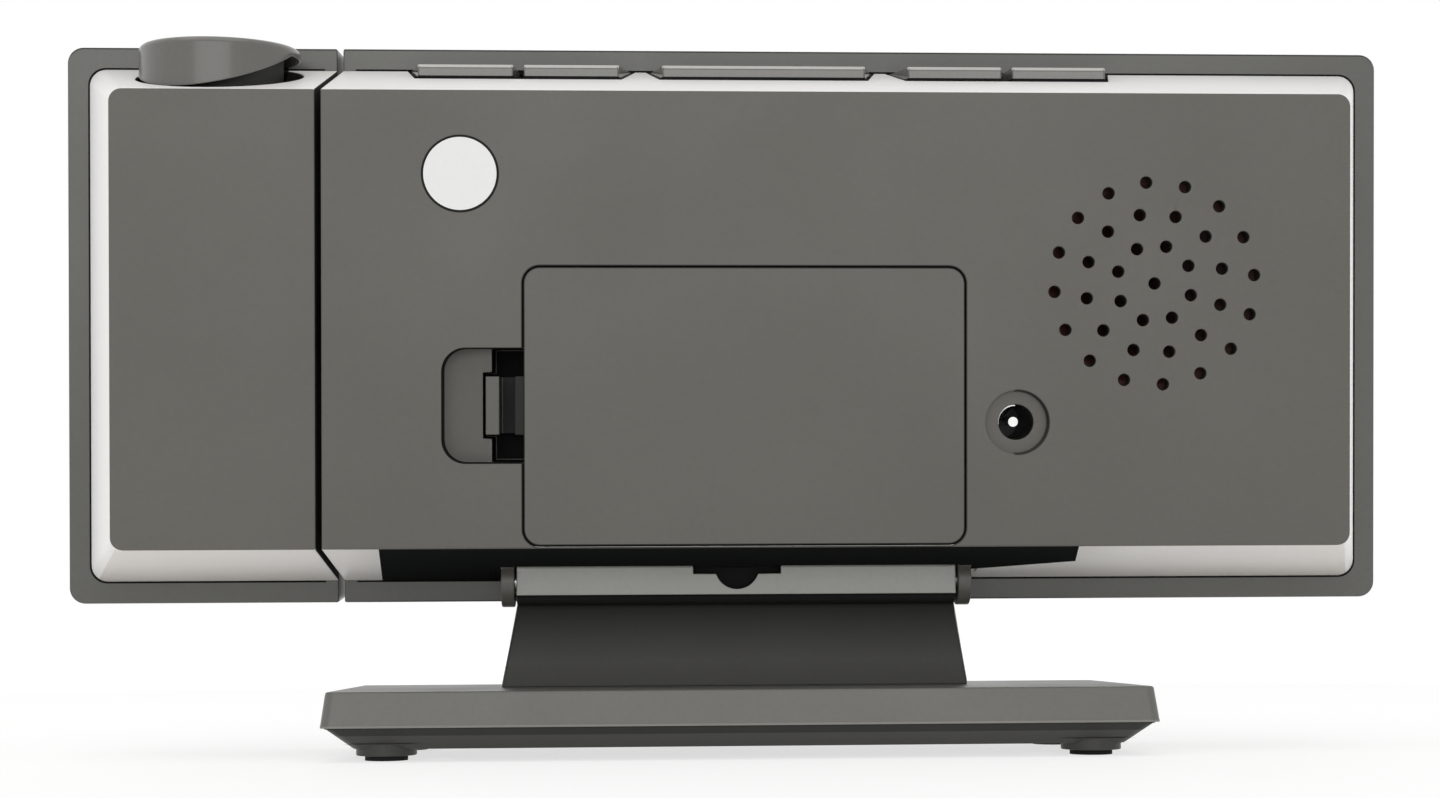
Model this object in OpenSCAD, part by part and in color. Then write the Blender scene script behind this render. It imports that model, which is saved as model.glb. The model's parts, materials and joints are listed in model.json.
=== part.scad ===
// Projection alarm clock on a tilting stand. The wide clock case carries the display,
// the keys, the speaker and the battery bay. A second, narrower case beside it holds
// the projector and swivels on a hollow shaft across the seam between the two.
// World frame: +Z up, the display faces -Y, the origin lies on the table under the middle
// of the clock's outline.
// Pieces of the two cases are drawn upright in the case's own frame: X across,
// Y from the plane of the frame's rear border towards the back, Z up from mid height.
// in_case() leans them back about the stand's hinge.

/* [Case] */
// Width over both cases
case_w = 185; // [170:1:200]
// Height of the cases
case_h = 77.7; // [76:0.1:84]
// Depth of the straight front frame
frame_t = 10; // [9:0.5:12]
// Depth of the tapered rear shell behind the frame
rear_t = 20.5; // [20:0.5:24]
// Width of the frame's rear border
border = 3.1; // [2.6:0.1:3.6]
// How far the side bevel draws in over the rear shell's depth
bevel_side = 7.8; // [6:0.2:9]
// How far the top bevel draws in
bevel_top = 5.5; // [5:0.1:6.2]
// How far the bottom bevel draws in
bevel_bottom = 6; // [5.5:0.1:6.2]
// Radius of the frame's outer corners
corner_r = 2.2; // [1:0.1:3]
// Radius of the rear panel's corners
panel_r = 1.7; // [1:0.1:2.5]
// Wall of the moulded shells
wall = 2; // [1.8:0.1:2.2]
// Thickness of the front windows
window_t = 2; // [1.5:0.1:2.2]
// Width of the frame's lip round the window
window_lip = 1.5; // [1:0.1:2]

/* [Seam and swivel] */
// Width of the projector case
projector_w = 37.4; // [36:0.1:40]
// Gap between the two cases
seam_gap = 0.8; // [0.6:0.1:1.2]
// Radius of the hollow swivel shaft
shaft_r = 3.5; // [3:0.1:3.6]
// Depth of the swivel axis behind the border plane
shaft_q = 5; // [5:0.1:6]
// Wall that carries the shaft on each side of the seam
seam_wall = 3.2; // [2.8:0.1:3.4]

/* [Keys] */
// Distance from the seam to the first key
key_start = 9.4; // [8:0.1:11]
// Width of each key of a pair
pair_key_w = 15.4; // [14:0.1:16]
// Gap between the keys of a pair
pair_gap = 0.3; // [0.2:0.05:0.5]
// Width of the long middle key
snooze_w = 31.6; // [28:0.1:33]
// Space between the middle key and its neighbours
key_space = 2.3; // [2:0.1:3]
// Drop from the case's top edge to the keys' top faces
key_drop = 3.25; // [2.9:0.05:3.5]
// Depth of a key from front to back
key_d = 8; // [7:0.1:8.4]
// How far a key can be pressed
key_travel = 0.7; // [0.3:0.05:0.7]
// Gap round a key in its slot
key_gap = 0.35; // [0.3:0.05:0.5]

/* [Focus knob] */
// Distance of the optical axis from the seam's side of the projector case
focus_in = 14.6; // [14:0.1:16]
// Depth of the optical axis behind the border plane
focus_q = 8; // [7.5:0.1:8.2]
// Radius of the focus knob
knob_r = 10.7; // [9.6:0.1:10.8]
// Drop from the case's top edge to the knob's top face
knob_drop = 1.4; // [1:0.1:2]
// Slope angle of the knob's oblique lower edge
knob_slope = 25; // [18:0.5:26]
// Direction in which that edge falls, from +X towards the back
knob_fall = 71.4; // [60:0.2:90]

/* [Battery bay] */
// Width of the battery door
door_w = 58; // [57.6:0.1:59]
// Height of the battery door
door_h = 36.4; // [36:0.1:37]
// Middle of the door, from mid width
door_x = -1; // [-3:0.1:0]
// Height of the door's bottom edge above the case's bottom edge
door_rise = 9.55; // [9.3:0.05:9.8]
// Thickness of the door's plate
door_t = 1.1; // [1:0.1:1.1]
// Gap round the door
door_gap = 0.2; // [0.15:0.05:0.25]

/* [Speaker and inlet] */
// Place of the speaker grille between the case's side and the battery door, as a share
grille_share = 0.595; // [0.58:0.005:0.61]
// Middle of the grille above mid height
grille_w = 5.05; // [3:0.05:6]
// Radius of a grille hole
grille_hole_r = 0.8; // [0.6:0.1:1]
// Distance of the power inlet's middle from the battery door
jack_in = 7; // [6.8:0.1:8]
// Drop from the grille's middle to the inlet's middle
jack_drop = 18.35; // [18:0.05:20]
// Radius of the recess round the inlet
jack_recess_r = 4.2; // [3.8:0.1:4.6]
// Radius of the inlet's opening
jack_hole_r = 2.35; // [2.2:0.05:2.6]

/* [Stand] */
// Lean of the case at rest, top towards the back
lean = 7.2; // [5:0.1:9]
// Height of the tilt hinge above the table
hinge_z = 23.4; // [23:0.1:26]
// Position of the tilt hinge behind the middle of the base
hinge_y = 2.1; // [1:0.1:3]
// Middle of the stand, from mid width
stand_x = -0.5; // [-3:0.1:0]
// Radius of the hinge barrel
barrel_r = 3.3; // [3.1:0.1:3.4]
// Length of the hinge barrel
barrel_l = 60.4; // [58:0.2:61]
// How much wider the neck is where it meets the base than at the hinge
neck_flare = 4.6; // [2:0.2:8]
// Width of the base
base_w = 109; // [106:1:120]
// Depth of the base
base_d = 39; // [38:0.5:44]
// Height of the base's top face
base_top = 9; // [8.8:0.1:9.4]
// Draft of the base's sides
base_draft = 0.55; // [0.4:0.05:0.8]
// Distance between the feet across
feet_x = 93.2; // [92:0.2:96]
// Distance between the feet from front to back
feet_y = 25; // [24:0.5:26]

/* [Hidden] */

$fn = 64;
eps = 0.01;
hull_fn = 32;

// Colours seen on the object
shell_grey = [0.42, 0.415, 0.395];
dark_grey = [0.2, 0.2, 0.19];
black = [0.06, 0.06, 0.07];
board_green = [0.12, 0.32, 0.2];
steel = [0.72, 0.73, 0.74];
rubber_black = [0.08, 0.08, 0.08];
paper_white = [0.93, 0.93, 0.9];
clear = [0.8, 0.88, 0.92];
cone_red = [0.28, 0.13, 0.1];
slide_grey = [0.25, 0.3, 0.32];

// Case
half_w = case_w / 2;
half_h = case_h / 2;
slip = 0.1;
rim_inset = border + slip;
seam_bar = 2;
frame_inner_q = -frame_t + window_t;
panel_inner_q = rear_t - wall;
panel_top = half_h - border - bevel_top;
seam_right = half_w - projector_w;
seam_left = seam_right - seam_gap;
shell_room = rim_inset + wall;
snap_l = 8;
snap_h = 0.4;
snap_t = 1.2;
snap_depth = 3.4;
snap_q = frame_inner_q + snap_depth;
snap_play = 0.2;
snap_in = 22;
projector_snap_in = 11;
case_snaps = [-half_w + snap_in, (seam_left - half_w) / 2, seam_left - snap_in];
projector_snaps = [seam_right + projector_snap_in, half_w - projector_snap_in];

// Circuit boards and what they carry
board_t = 1.6;
board_q = -1;
board_back_q = board_q + board_t;
board_play = 0.5;
board_seam_in = 7;
board_left = -half_w + shell_room + board_play;
board_right = seam_left - board_seam_in;
board_bottom = -half_h + shell_room + board_play;
screw_r = 1;
screw_head_r = 1.9;
screw_head_t = 1.4;
screw_play = 0.05;
boss_r = 2.6;
boss_depth = 7.5;
board_screw_l = 6;

// Keys: each entry is the two ends across and the chamfer of each end in plan
key_outer_cut = 1.9;
key_inner_cut = 0.6;
key_front_q = 0.2;
function left_key(x) = [x, x - pair_key_w, key_outer_cut, key_inner_cut];
function right_key(x) = [x, x - pair_key_w, key_inner_cut, key_outer_cut];
mode_key = left_key(seam_left - key_start);
alarm_key = right_key(mode_key[1] - pair_gap);
snooze_key = [alarm_key[1] - key_space, alarm_key[1] - key_space - snooze_w,
    key_outer_cut, key_outer_cut];
up_key = left_key(snooze_key[1] - key_space);
down_key = right_key(up_key[1] - pair_gap);
keys = [mode_key, alarm_key, snooze_key, up_key, down_key];
key_top = half_h - key_drop;
key_edge = 0.45;
key_flange = 0.8;
key_flange_t = 0.75;
key_h = 5.65;
key_bottom = key_top - key_h;
plunger_r = 1;
plunger_top = key_bottom - key_travel - screw_play;
key_room = 5.25;
board_top = key_bottom - key_room;
key_board_top = board_top + board_t;
key_board_over = 2.7;
key_board_x = [down_key[1] - key_board_over, mode_key[0] + key_board_over];
key_board_back_q = 14.5;
switch_side = 5;
switch_h = 2.4;
switch_q = 5;
key_boss_x = [snooze_key[0] + key_space / 2, snooze_key[1] - key_space / 2];
key_boss_q = 12;
key_boss_r = 2.2;
key_screw_l = 2.6;
key_screw_hole = 3.2;

// Main board and display: places on the board are shares of its width and its height
board_l = board_right - board_left;
board_h = board_top - board_bottom;
board_screws_at = [[0.08, 0.16], [0.08, 0.91], [0.98, 0.145], [0.98, 0.81]];
// Chips: place along and up the board, side and height
chips = [[0.2, 0.23, 9, 1.4], [0.7, 0.84, 12, 1.6], [0.9, 0.64, 7, 1.2]];
light_box_x = [on_board([0.103, 0])[0], on_board([0.953, 0])[0]];
light_box_low = 3.4;
light_box_high = 1;
light_box_w = [board_bottom + light_box_low, board_top - light_box_high];
display_l = light_box_x[1] - light_box_x[0];
display_x = (light_box_x[0] + light_box_x[1]) / 2;
digit_w = display_l * 0.184;
digit_step = display_l * 0.232;
colon_room = display_l * 0.154;
digit_h = 38;
digit_stroke = 3.6;
digit_gap = 0.7;
digit_t = 1.2;
digit_mid = (light_box_w[0] + light_box_w[1]) / 2;
digits_at = [for (side = [-1, 1], i = [0, 1]) display_x + side * (colon_room + i * digit_step)];

// Stand hinge, in the case's frame
hinge_q = 6;
hinge_w = barrel_r - half_h;
barrel_end_play = 0.3;
ear_t = 1.8;
ear_r = 3.4;
trough_play = 0.45;
trough_r = barrel_r + trough_play;
trough_wall = 1.5;
barrel_right = stand_x + barrel_l / 2;
barrel_left = stand_x - barrel_l / 2;
ear_in_right = barrel_right + barrel_end_play;
ear_in_left = barrel_left - barrel_end_play;
pin_r = 1.5;
pin_play = 0.05;
pin_depth = 12;
pin_end_play = 1;
pin_hole_extra = 3;
barrel_flat = 2.7;
notch_w = 12;
notch_drop = 0.9;
tongue_r = 2.35;
tongue_t = 0.7;
tongue_rise = 3;
tongue_pocket = 0.65;
tongue_pocket_depth = 1.6;
face_half = sqrt(barrel_r * barrel_r - barrel_flat * barrel_flat);

// Battery bay
door_r = 2.1;
door_left = door_x - door_w / 2;
door_right = door_x + door_w / 2;
door_bottom = door_rise - half_h;
door_top = door_bottom + door_h;
door_seat_q = rear_t - door_t - slip;
door_rib = 1.2;
door_rib_d = 1.4;
door_rib_play = 0.4;
door_axis_x = door_left - 0.1;
door_tab_low = 7.35;
door_tab_high = 9.55;
door_tab_w = [door_bottom + door_tab_low, door_top - door_tab_high];
door_tab_l = 6;
door_tab_reach = 1.7;
door_tab_root = 2;
door_tab_t = 0.9;
door_tab_swing = 3.1;
bay_hook_in = 2.2;
bay_latch_in = 2.4;
bay_low_in = 1.35;
bay_high_in = 1.65;
bay_x = [door_left + bay_hook_in, door_right - bay_latch_in];
bay_w = [door_bottom + bay_low_in, door_top - bay_high_in];
bay_d = 14.1;
bay_q = rear_t - bay_d;
bay_wall = 1.5;
bay_side = 3.9;
bay_rim = 3.3;
bay_block_x = [bay_x[0] - bay_side, bay_x[1] + bay_side];
bay_block_w = [bay_w[0] - bay_rim, bay_w[1] + bay_rim];
latch_rise = 10.85;
latch_l = 14.9;
latch_w = [door_bottom + latch_rise, door_bottom + latch_rise + latch_l];
finger_reach = 4.3;
latch_scoop_l = 6.3;
latch_x = [door_right + finger_reach, door_right + finger_reach + latch_scoop_l];
latch_r = 3;
latch_scoop_d = 2.9;
latch_floor_q = rear_t - latch_scoop_d;
latch_scoop_r = 16;
latch_scoop_in = 2;
latch_pit_d = 9;
latch_bottom_q = rear_t - latch_pit_d;
latch_wall = 1.4;
finger_in = 3.6;
finger_w = [latch_w[0] + finger_in, latch_w[1] - finger_in];
finger_slot = 0.5;
finger_slot_in = 1.2;
finger_slot_x = latch_x[0] + finger_slot_in;
finger_x = [door_right + door_gap, latch_x[0]];
finger_t = 1;
finger_d = 7.3;
finger_bottom_q = rear_t - finger_d;
finger_top_sink = 1.6;
finger_top_q = rear_t - finger_top_sink;
finger_arm_sink = 0.4;
finger_arm_q = rear_t - finger_arm_sink;
finger_lip = 0.8;
cell_pitch = 11.1;
cell_rows = [-1, 0, 1];
contact_side = 8;
contact_t = 0.4;
contact_gap = 1;
spring_turns = 4;
spring_pitch = 1.1;
spring_wire = 0.45;
spring_big = 3.6;
spring_small = 1.9;
spring_band = 1;

// Speaker and inlet
grille_x = grille_share * (door_left + half_w) - half_w;
grille_rings = [[0, 1], [5.1, 8], [9.25, 12], [13.4, 16]];
grille_start = 72.3;
speaker_r = 16;
speaker_lip = 1.2;
speaker_d = 8.5;
speaker_q = panel_inner_q - speaker_d;
cone_r = 14.4;
cone_small = 4;
cone_depth = 3.6;
cone_t = 0.4;
cone_edge = 1;
basket_skin = 1;
basket_edge = 0.6;
magnet_r = 7.5;
magnet_t = 3.2;
speaker_rib = 1.2;
jack_x = door_left - jack_in;
jack_w = grille_w - jack_drop;
jack_recess_t = 1;
jack_side = 9;
jack_bore_d = 10;
jack_bore_q = panel_inner_q - jack_bore_d;
jack_pin_r = 0.65;
jack_pin_sink = 1.1;
jack_pin_top = panel_inner_q - jack_pin_sink;
sticker_in = 18.05;
sticker_x = seam_left - sticker_in;
sticker_drop = 10.95;
sticker_w = panel_top - sticker_drop;
sticker_r = 4.8;
sticker_t = 0.15;

// Projector
focus_x = seam_right + focus_in;
knob_top = half_h - knob_drop;
well_rise = 0.15;
well_floor = panel_top + well_rise;
well_gap = 0.4;
well_r = knob_r + well_gap;
well_wall = 1.5;
hub_r = 8.4;
hub_play = 0.05;
hub_bore_r = 7.3;
knob_lip_r = 9.2;
knob_lip_t = 0.9;
knob_lip_gap = 0.3;
knob_plate = 1.5;
knob_cap = 1;
knob_cut_drop = 1.6;
knob_eye_r = 6.4;
knob_edge = 0.9;
tube_top = well_floor - well_wall - knob_lip_gap - knob_lip_t - knob_lip_gap;
tube_r = 8.3;
tube_bore_r = 7.05;
tube_l = 43.8;
tube_bottom = tube_top - tube_l;
tube_step_d = 19.4;
tube_step = tube_top - tube_step_d;
slide_bore_r = 6;
slide_rise = 8.4;
slide_ledge = tube_bottom + slide_rise;
lamp_bore_r = 4.8;
lug_half_w = 11.2;
lug_h = 10;
lug_w = [tube_step - lug_h, tube_step];
lug_behind = 4;
lug_q = focus_q + lug_behind;
lug_t = 1.6;
optics_screw_half = 9.6;
optics_screw_x = [focus_x - optics_screw_half, focus_x + optics_screw_half];
optics_screw_w = (lug_w[0] + lug_w[1]) / 2;
optics_screw_l = 3.4;
optics_screw_hole = 4;
optics_head_r = 1.6;
optics_head_t = 1.2;
optics_boss_r = 2;
barrel_tube_r = 7;
barrel_tube_bore = 6;
barrel_tube_d = 13.4;
barrel_tube_bottom = tube_top - barrel_tube_d;
barrel_drop = 2.3;
barrel_tube_top = knob_top - barrel_drop;
barrel_lip = 1;
lens_drop = 3;
lens_seat = barrel_tube_top - lens_drop;
lens_rim_t = 1.2;
lens_rise = 1.3;
condenser_t = 2.5;
slide_side = 8.2;
slide_t = 1.1;
lamp_board_half_w = 8.5;
lamp_board_half_d = 8;
lamp_board_x = [focus_x - lamp_board_half_w, focus_x + lamp_board_half_w];
lamp_board_q = [focus_q - lamp_board_half_d, focus_q + lamp_board_half_d];
lamp_r = 2.5;
lamp_h = 5.2;
shaft_bore_r = 2.2;
shaft_flange_r = 4.9;
shaft_flange_t = 1.5;
washer_r = 4.7;
washer_t = 0.6;
clip_t = 0.8;
clip_r = 4.5;
clip_slot = 1.5;
shaft_groove = 0.5;
washer_x = seam_left - seam_wall - knob_lip_gap - washer_t;
shaft_tip = 1.2;
shaft_end = washer_x - clip_t - shaft_tip;

// Base
back_y = hinge_y + (rear_t - hinge_q) * cos(lean) + (panel_top - hinge_w) * sin(lean);
middle_y = (back_y - base_d / 2) / 2;
foot_boss_r = 3.95;
foot_r = 2.8;
foot_t = 0.95;
foot_proud = 0.65;
cover_bottom = 1.55;
cover_top = 4.4;
cover_taper = 3.4;
cover_step = 0.5;
base_r = 1.4;
base_wall = 1.8;
base_screws_at = [[40, 11], [-40, 11], [40, -11], [-40, -11]];
base_boss_r = 2.6;
base_cavity_play = 0.5;
base_screw_l = 3.6;
head_sink = 0.85;
weight_w = 70;
weight_d = 30;
weight_t = 2.5;
cover_floor = 1.6;
neck_y = -3.9;
neck_foot_t = 5.2;
neck_top_t = 4;
neck_ledge = neck_top_t / 2;
neck_foot_w = barrel_l + neck_flare;
neck_shoulder = ear_r + 0.4;
neck_screw_x = 22;
neck_screw_rise = 3;
neck_screw_hole = 4.5;

// ---------- shared shapes ----------

// Places a piece of the stand, drawn about the middle of the base
module in_stand() {
    translate([0, -middle_y, 0])
        children();
}

// Leans a piece of the cases back about the stand's hinge
module in_case() {
    translate([0, hinge_y - middle_y, hinge_z])
        rotate([-lean, 0, 0])
            translate([0, -hinge_q, -hinge_w])
                children();
}

// Extrudes an outline in X and Z from depth q0 to depth q1
module along_q(q0, q1) {
    translate([0, q1, 0])
        rotate([90, 0, 0])
            linear_extrude(q1 - q0)
                children();
}

// Box between two corners
module box(from, to) {
    translate(from)
        cube(to - from);
}

// Rectangle with rounded corners
module rounded(x0, x1, w0, w1, r) {
    union() {
        translate([x0 + r, w0])
            square([x1 - x0 - 2 * r, w1 - w0]);
        translate([x0, w0 + r])
            square([x1 - x0, w1 - w0 - 2 * r]);
        for (x = [x0 + r, x1 - r], w = [w0 + r, w1 - r])
            translate([x, w])
                circle(r);
    }
}

// Outline of the clock case: round corners on the left, flat at the seam
module case_outline(side, top, bottom, seam, r) {
    x0 = side - half_w;
    x1 = seam_left - seam;
    union() {
        rounded(x0, x1, -half_h + bottom, half_h - top, r);
        translate([x1 - 2 * r, -half_h + bottom])
            square([2 * r, case_h - top - bottom]);
    }
}

// Outline of the projector case: flat at the seam, round corners on the right
module projector_outline(side, top, bottom, seam, r) {
    x0 = seam_right + seam;
    x1 = half_w - side;
    union() {
        rounded(x0, x1, -half_h + bottom, half_h - top, r);
        translate([x0, -half_h + bottom])
            square([2 * r, case_h - top - bottom]);
    }
}

// One of the two outlines: the clock case, or the projector case
module outline(projector, side, top, bottom, seam, r) {
    if (projector)
        projector_outline(side, top, bottom, seam, r);
    else
        case_outline(side, top, bottom, seam, r);
}

// The part of the bevel's inset that is reached at depth q
function reach(q) = q / rear_t;

// Tapered solid of a rear shell, shrunk by a wall on every side
module taper(projector, inset, seam, q1) {
    hull() {
        along_q(0, eps)
            outline(projector, border + inset, border + inset, border + inset, seam,
                corner_r + slip - inset / 2, $fn = hull_fn);
        along_q(q1 - eps, q1)
            outline(projector,
                border + inset + bevel_side * reach(q1),
                border + inset + bevel_top * reach(q1),
                border + inset + bevel_bottom * reach(q1),
                seam, panel_r - inset / 2, $fn = hull_fn);
    }
}

// Outer solid of a rear shell: the taper and the rim that slips into the frame
module shell_outside(projector) {
    taper(projector, 0, 0, rear_t);
    along_q(frame_inner_q, eps)
        outline(projector, rim_inset, rim_inset, rim_inset, seam_bar + slip, corner_r);
}

// Hollow inside of a rear shell
module shell_inside(projector) {
    taper(projector, wall, seam_wall, panel_inner_q);
    along_q(frame_inner_q - eps, eps)
        outline(projector, rim_inset + wall, rim_inset + wall, rim_inset + wall,
            seam_bar + slip + wall, corner_r / 2);
}

// Straight front frame with its window recess and its opening
module frame_ring(projector) {
    difference() {
        along_q(-frame_t, 0)
            outline(projector, 0, 0, 0, 0, corner_r);
        along_q(-frame_t - 1, frame_inner_q)
            outline(projector, window_lip, window_lip, window_lip, 1, corner_r / 2);
        along_q(-frame_t, 1)
            outline(projector, border, border, border, seam_bar, corner_r);
    }
}

// Snap nibs on a rim, or the pockets for them in the frame
module snaps(middles, play) {
    for (x = middles, side = [-1, 1])
        translate([x, snap_q, side * (half_h - rim_inset)])
            cube([snap_l + 2 * play, snap_t + 2 * play, 2 * (snap_h + play)], center = true);
}

// Round bar along X
module bar_x(x0, x1, r) {
    translate([x0, 0, 0])
        rotate([0, 90, 0])
            cylinder(h = x1 - x0, r = r);
}

// Round bar along the depth
module bar_q(q0, q1, r) {
    translate([0, q0, 0])
        rotate([-90, 0, 0])
            cylinder(h = q1 - q0, r = r);
}

// Pan-head screw, its head under the origin and its shank along +Z
module screw(shank, head_r = screw_head_r, head_t = screw_head_t) {
    translate([0, 0, -head_t])
        cylinder(h = head_t, r = head_r);
    cylinder(h = shank, r = screw_r);
}

// ---------- stand ----------

module base_plan(w, d, r) {
    rounded(-w / 2, w / 2, -d / 2, d / 2, r);
}

module stand_base() {
    in_stand()
        color(shell_grey)
            difference() {
                union() {
                    difference() {
                        translate([stand_x, 0, 0])
                            hull() {
                                translate([0, 0, cover_top])
                                    linear_extrude(eps)
                                        base_plan(base_w, base_d, base_r, $fn = hull_fn);
                                translate([0, 0, base_top - eps])
                                    linear_extrude(eps)
                                        base_plan(base_w - 2 * base_draft, base_d - 2 * base_draft,
                                            base_r, $fn = hull_fn);
                            }
                        translate([stand_x, 0, cover_top - 1])
                            linear_extrude(base_top - base_wall - cover_top + 1)
                                base_plan(base_w - 2 * (base_wall + base_cavity_play),
                                    base_d - 2 * (base_wall + base_cavity_play), base_r);
                    }
                    for (at = base_screws_at)
                        translate([stand_x + at[0], at[1], cover_top])
                            cylinder(h = base_top - base_wall - cover_top + eps, r = base_boss_r);
                }
                for (at = base_screws_at)
                    translate([stand_x + at[0], at[1], cover_top - 1])
                        cylinder(h = base_top - base_wall - cover_top, r = screw_r + screw_play);
                for (side = [-1, 1])
                    translate([stand_x + side * neck_screw_x, neck_y, 0])
                        cylinder(h = base_top + 1, r = screw_r + screw_play);
            }
}

module base_bottom_cover() {
    in_stand()
        color(dark_grey)
            difference() {
                union() {
                    translate([stand_x, 0, 0])
                        hull() {
                            translate([0, 0, cover_top - eps])
                                linear_extrude(eps)
                                    base_plan(base_w - 2 * cover_step, base_d - 2 * cover_step,
                                        base_r, $fn = hull_fn);
                            translate([0, 0, cover_bottom])
                                linear_extrude(eps)
                                    base_plan(base_w - 2 * (cover_step + cover_taper),
                                        base_d - 2 * (cover_step + cover_taper),
                                        base_r, $fn = hull_fn);
                        }
                    for (x = [-1, 1], y = [-1, 1])
                        translate([stand_x + x * feet_x / 2, y * feet_y / 2, foot_proud])
                            cylinder(h = cover_floor, r = foot_boss_r);
                }
                box([stand_x - weight_w / 2 - slip, -weight_d / 2 - slip, cover_bottom + cover_floor],
                    [stand_x + weight_w / 2 + slip, weight_d / 2 + slip, cover_top + 1]);
                for (at = base_screws_at)
                    translate([stand_x + at[0], at[1], cover_bottom - 1]) {
                        cylinder(h = head_sink + 1, r = screw_head_r + slip);
                        cylinder(h = cover_top, r = screw_r + screw_play);
                    }
                for (x = [-1, 1], y = [-1, 1])
                    translate([stand_x + x * feet_x / 2, y * feet_y / 2, 0])
                        cylinder(h = foot_t, r = foot_r + screw_play);
            }
}

module base_weight() {
    in_stand()
        color(steel)
            box([stand_x - weight_w / 2, -weight_d / 2, cover_bottom + cover_floor],
                [stand_x + weight_w / 2, weight_d / 2, cover_bottom + cover_floor + weight_t]);
}

module rubber_feet() {
    in_stand()
        color(rubber_black)
            for (x = [-1, 1], y = [-1, 1])
                translate([stand_x + x * feet_x / 2, y * feet_y / 2, 0])
                    cylinder(h = foot_t, r = foot_r);
}

module base_screws() {
    in_stand()
        color(steel)
            for (at = base_screws_at)
                translate([stand_x + at[0], at[1], cover_bottom + head_sink])
                    screw(base_screw_l, screw_head_r, head_sink - slip);
}

module neck_screws() {
    in_stand()
        color(steel)
            for (side = [-1, 1])
                translate([stand_x + side * neck_screw_x, neck_y, base_top - base_wall])
                    screw(base_wall + neck_screw_rise);
}

// Thin slab across the neck, a share of the way down from the hinge to the base
module neck_slab(w, t, share) {
    translate([
        stand_x - w / 2,
        hinge_y + (neck_y - hinge_y) * share - t / 2,
        hinge_z + (base_top - hinge_z) * share
    ])
        cube([w, t, eps]);
}

module stand_neck() {
    in_stand()
        color(dark_grey)
            difference() {
                union() {
                    hull() {
                        translate([0, hinge_y, hinge_z])
                            bar_x(barrel_left, barrel_right, neck_top_t / 2, $fn = hull_fn);
                        neck_slab(barrel_l, neck_top_t, neck_shoulder / (hinge_z - base_top));
                    }
                    hull() {
                        neck_slab(barrel_l, neck_top_t, neck_shoulder / (hinge_z - base_top));
                        neck_slab(neck_foot_w, neck_foot_t, 1);
                    }
                    translate([0, hinge_y, hinge_z])
                        bar_x(barrel_left, barrel_right, barrel_r);
                }
                // flat rear face of the barrel, and the ledge under it
                box([barrel_left - 1, hinge_y + barrel_flat, hinge_z - barrel_r - 1],
                    [barrel_right + 1, hinge_y + 2 * barrel_r, hinge_z + barrel_r + 1]);
                box([barrel_left - 1, hinge_y + neck_ledge, hinge_z - barrel_r - 1],
                    [barrel_right + 1, hinge_y + 2 * barrel_r, hinge_z - face_half]);
                // notch over the middle, and the round pocket under it
                box([stand_x - notch_w / 2, hinge_y + barrel_flat - tongue_pocket_depth,
                        hinge_z + face_half - notch_drop],
                    [stand_x + notch_w / 2, hinge_y + barrel_r + 1, hinge_z + barrel_r + 1]);
                translate([stand_x, hinge_y + barrel_flat - tongue_pocket_depth, hinge_z + face_half])
                    bar_q(0, tongue_pocket_depth + 1, tongue_r + tongue_pocket);
                translate([0, hinge_y, hinge_z]) {
                    bar_x(barrel_left - 1, barrel_left + pin_depth, pin_r + pin_play);
                    bar_x(barrel_right - pin_depth, barrel_right + 1, pin_r + pin_play);
                }
                for (side = [-1, 1])
                    translate([stand_x + side * neck_screw_x, neck_y, base_top - 1])
                        cylinder(h = neck_screw_hole, r = screw_r + screw_play);
            }
}

// ---------- clock case ----------

// Place on the main board, from shares of its width and its height
function on_board(share) = [board_left + share[0] * board_l, board_bottom + share[1] * board_h];

// Puts a copy at each screw of the main board
module at_board_screws() {
    for (share = board_screws_at)
        translate([on_board(share)[0], 0, on_board(share)[1]])
            children();
}

module front_frame() {
    in_case()
        color(shell_grey)
            difference() {
                frame_ring(false);
                snaps(case_snaps, snap_play);
            }
}

module display_window() {
    in_case()
        color(black)
            along_q(-frame_t, frame_inner_q)
                outline(false, window_lip + slip, window_lip + slip, window_lip + slip,
                    1 + slip, corner_r / 2);
}

// Corners of a vertical segment, drawn upright about the origin
module segment(l) {
    half = digit_stroke / 2;
    polygon([[0, -l / 2], [half, -l / 2 + half], [half, l / 2 - half],
        [0, l / 2], [-half, l / 2 - half], [-half, -l / 2 + half]]);
}

// The seven segments of a digit about its middle
module digit() {
    dx = digit_w / 2 - digit_stroke / 2;
    dz = digit_h / 2 - digit_stroke / 2;
    for (x = [-dx, dx], z = [-dz / 2, dz / 2])
        translate([x, z])
            segment(dz - digit_gap);
    for (z = [-dz, 0, dz])
        translate([0, z])
            rotate(90)
                segment(2 * dx - digit_gap);
}

// Outlines of every lit field of the display
module display_fields() {
    for (x = digits_at)
        translate([x, digit_mid])
            digit();
    for (z = [-1, 1])
        translate([display_x, digit_mid + z * digit_h / 5])
            circle(digit_stroke / 2);
}

module display_light_box() {
    in_case()
        color(black)
            difference() {
                box([light_box_x[0], frame_inner_q, light_box_w[0]],
                    [light_box_x[1], board_q, light_box_w[1]]);
                along_q(frame_inner_q - 1, board_q + 1)
                    display_fields();
            }
}

module display_digits() {
    in_case()
        color(paper_white)
            along_q(frame_inner_q, frame_inner_q + digit_t)
                display_fields();
}

module main_board() {
    in_case()
        color(board_green)
            difference() {
                union() {
                    box([board_left, board_q, board_bottom], [board_right, board_back_q, board_top]);
                    for (chip = chips)
                        box([on_board(chip)[0] - chip[2] / 2, board_back_q - eps,
                                on_board(chip)[1] - chip[2] / 2],
                            [on_board(chip)[0] + chip[2] / 2, board_back_q + chip[3],
                                on_board(chip)[1] + chip[2] / 2]);
                }
                at_board_screws()
                    bar_q(board_q - 1, board_back_q + 1, screw_r + screw_play);
            }
}

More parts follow.
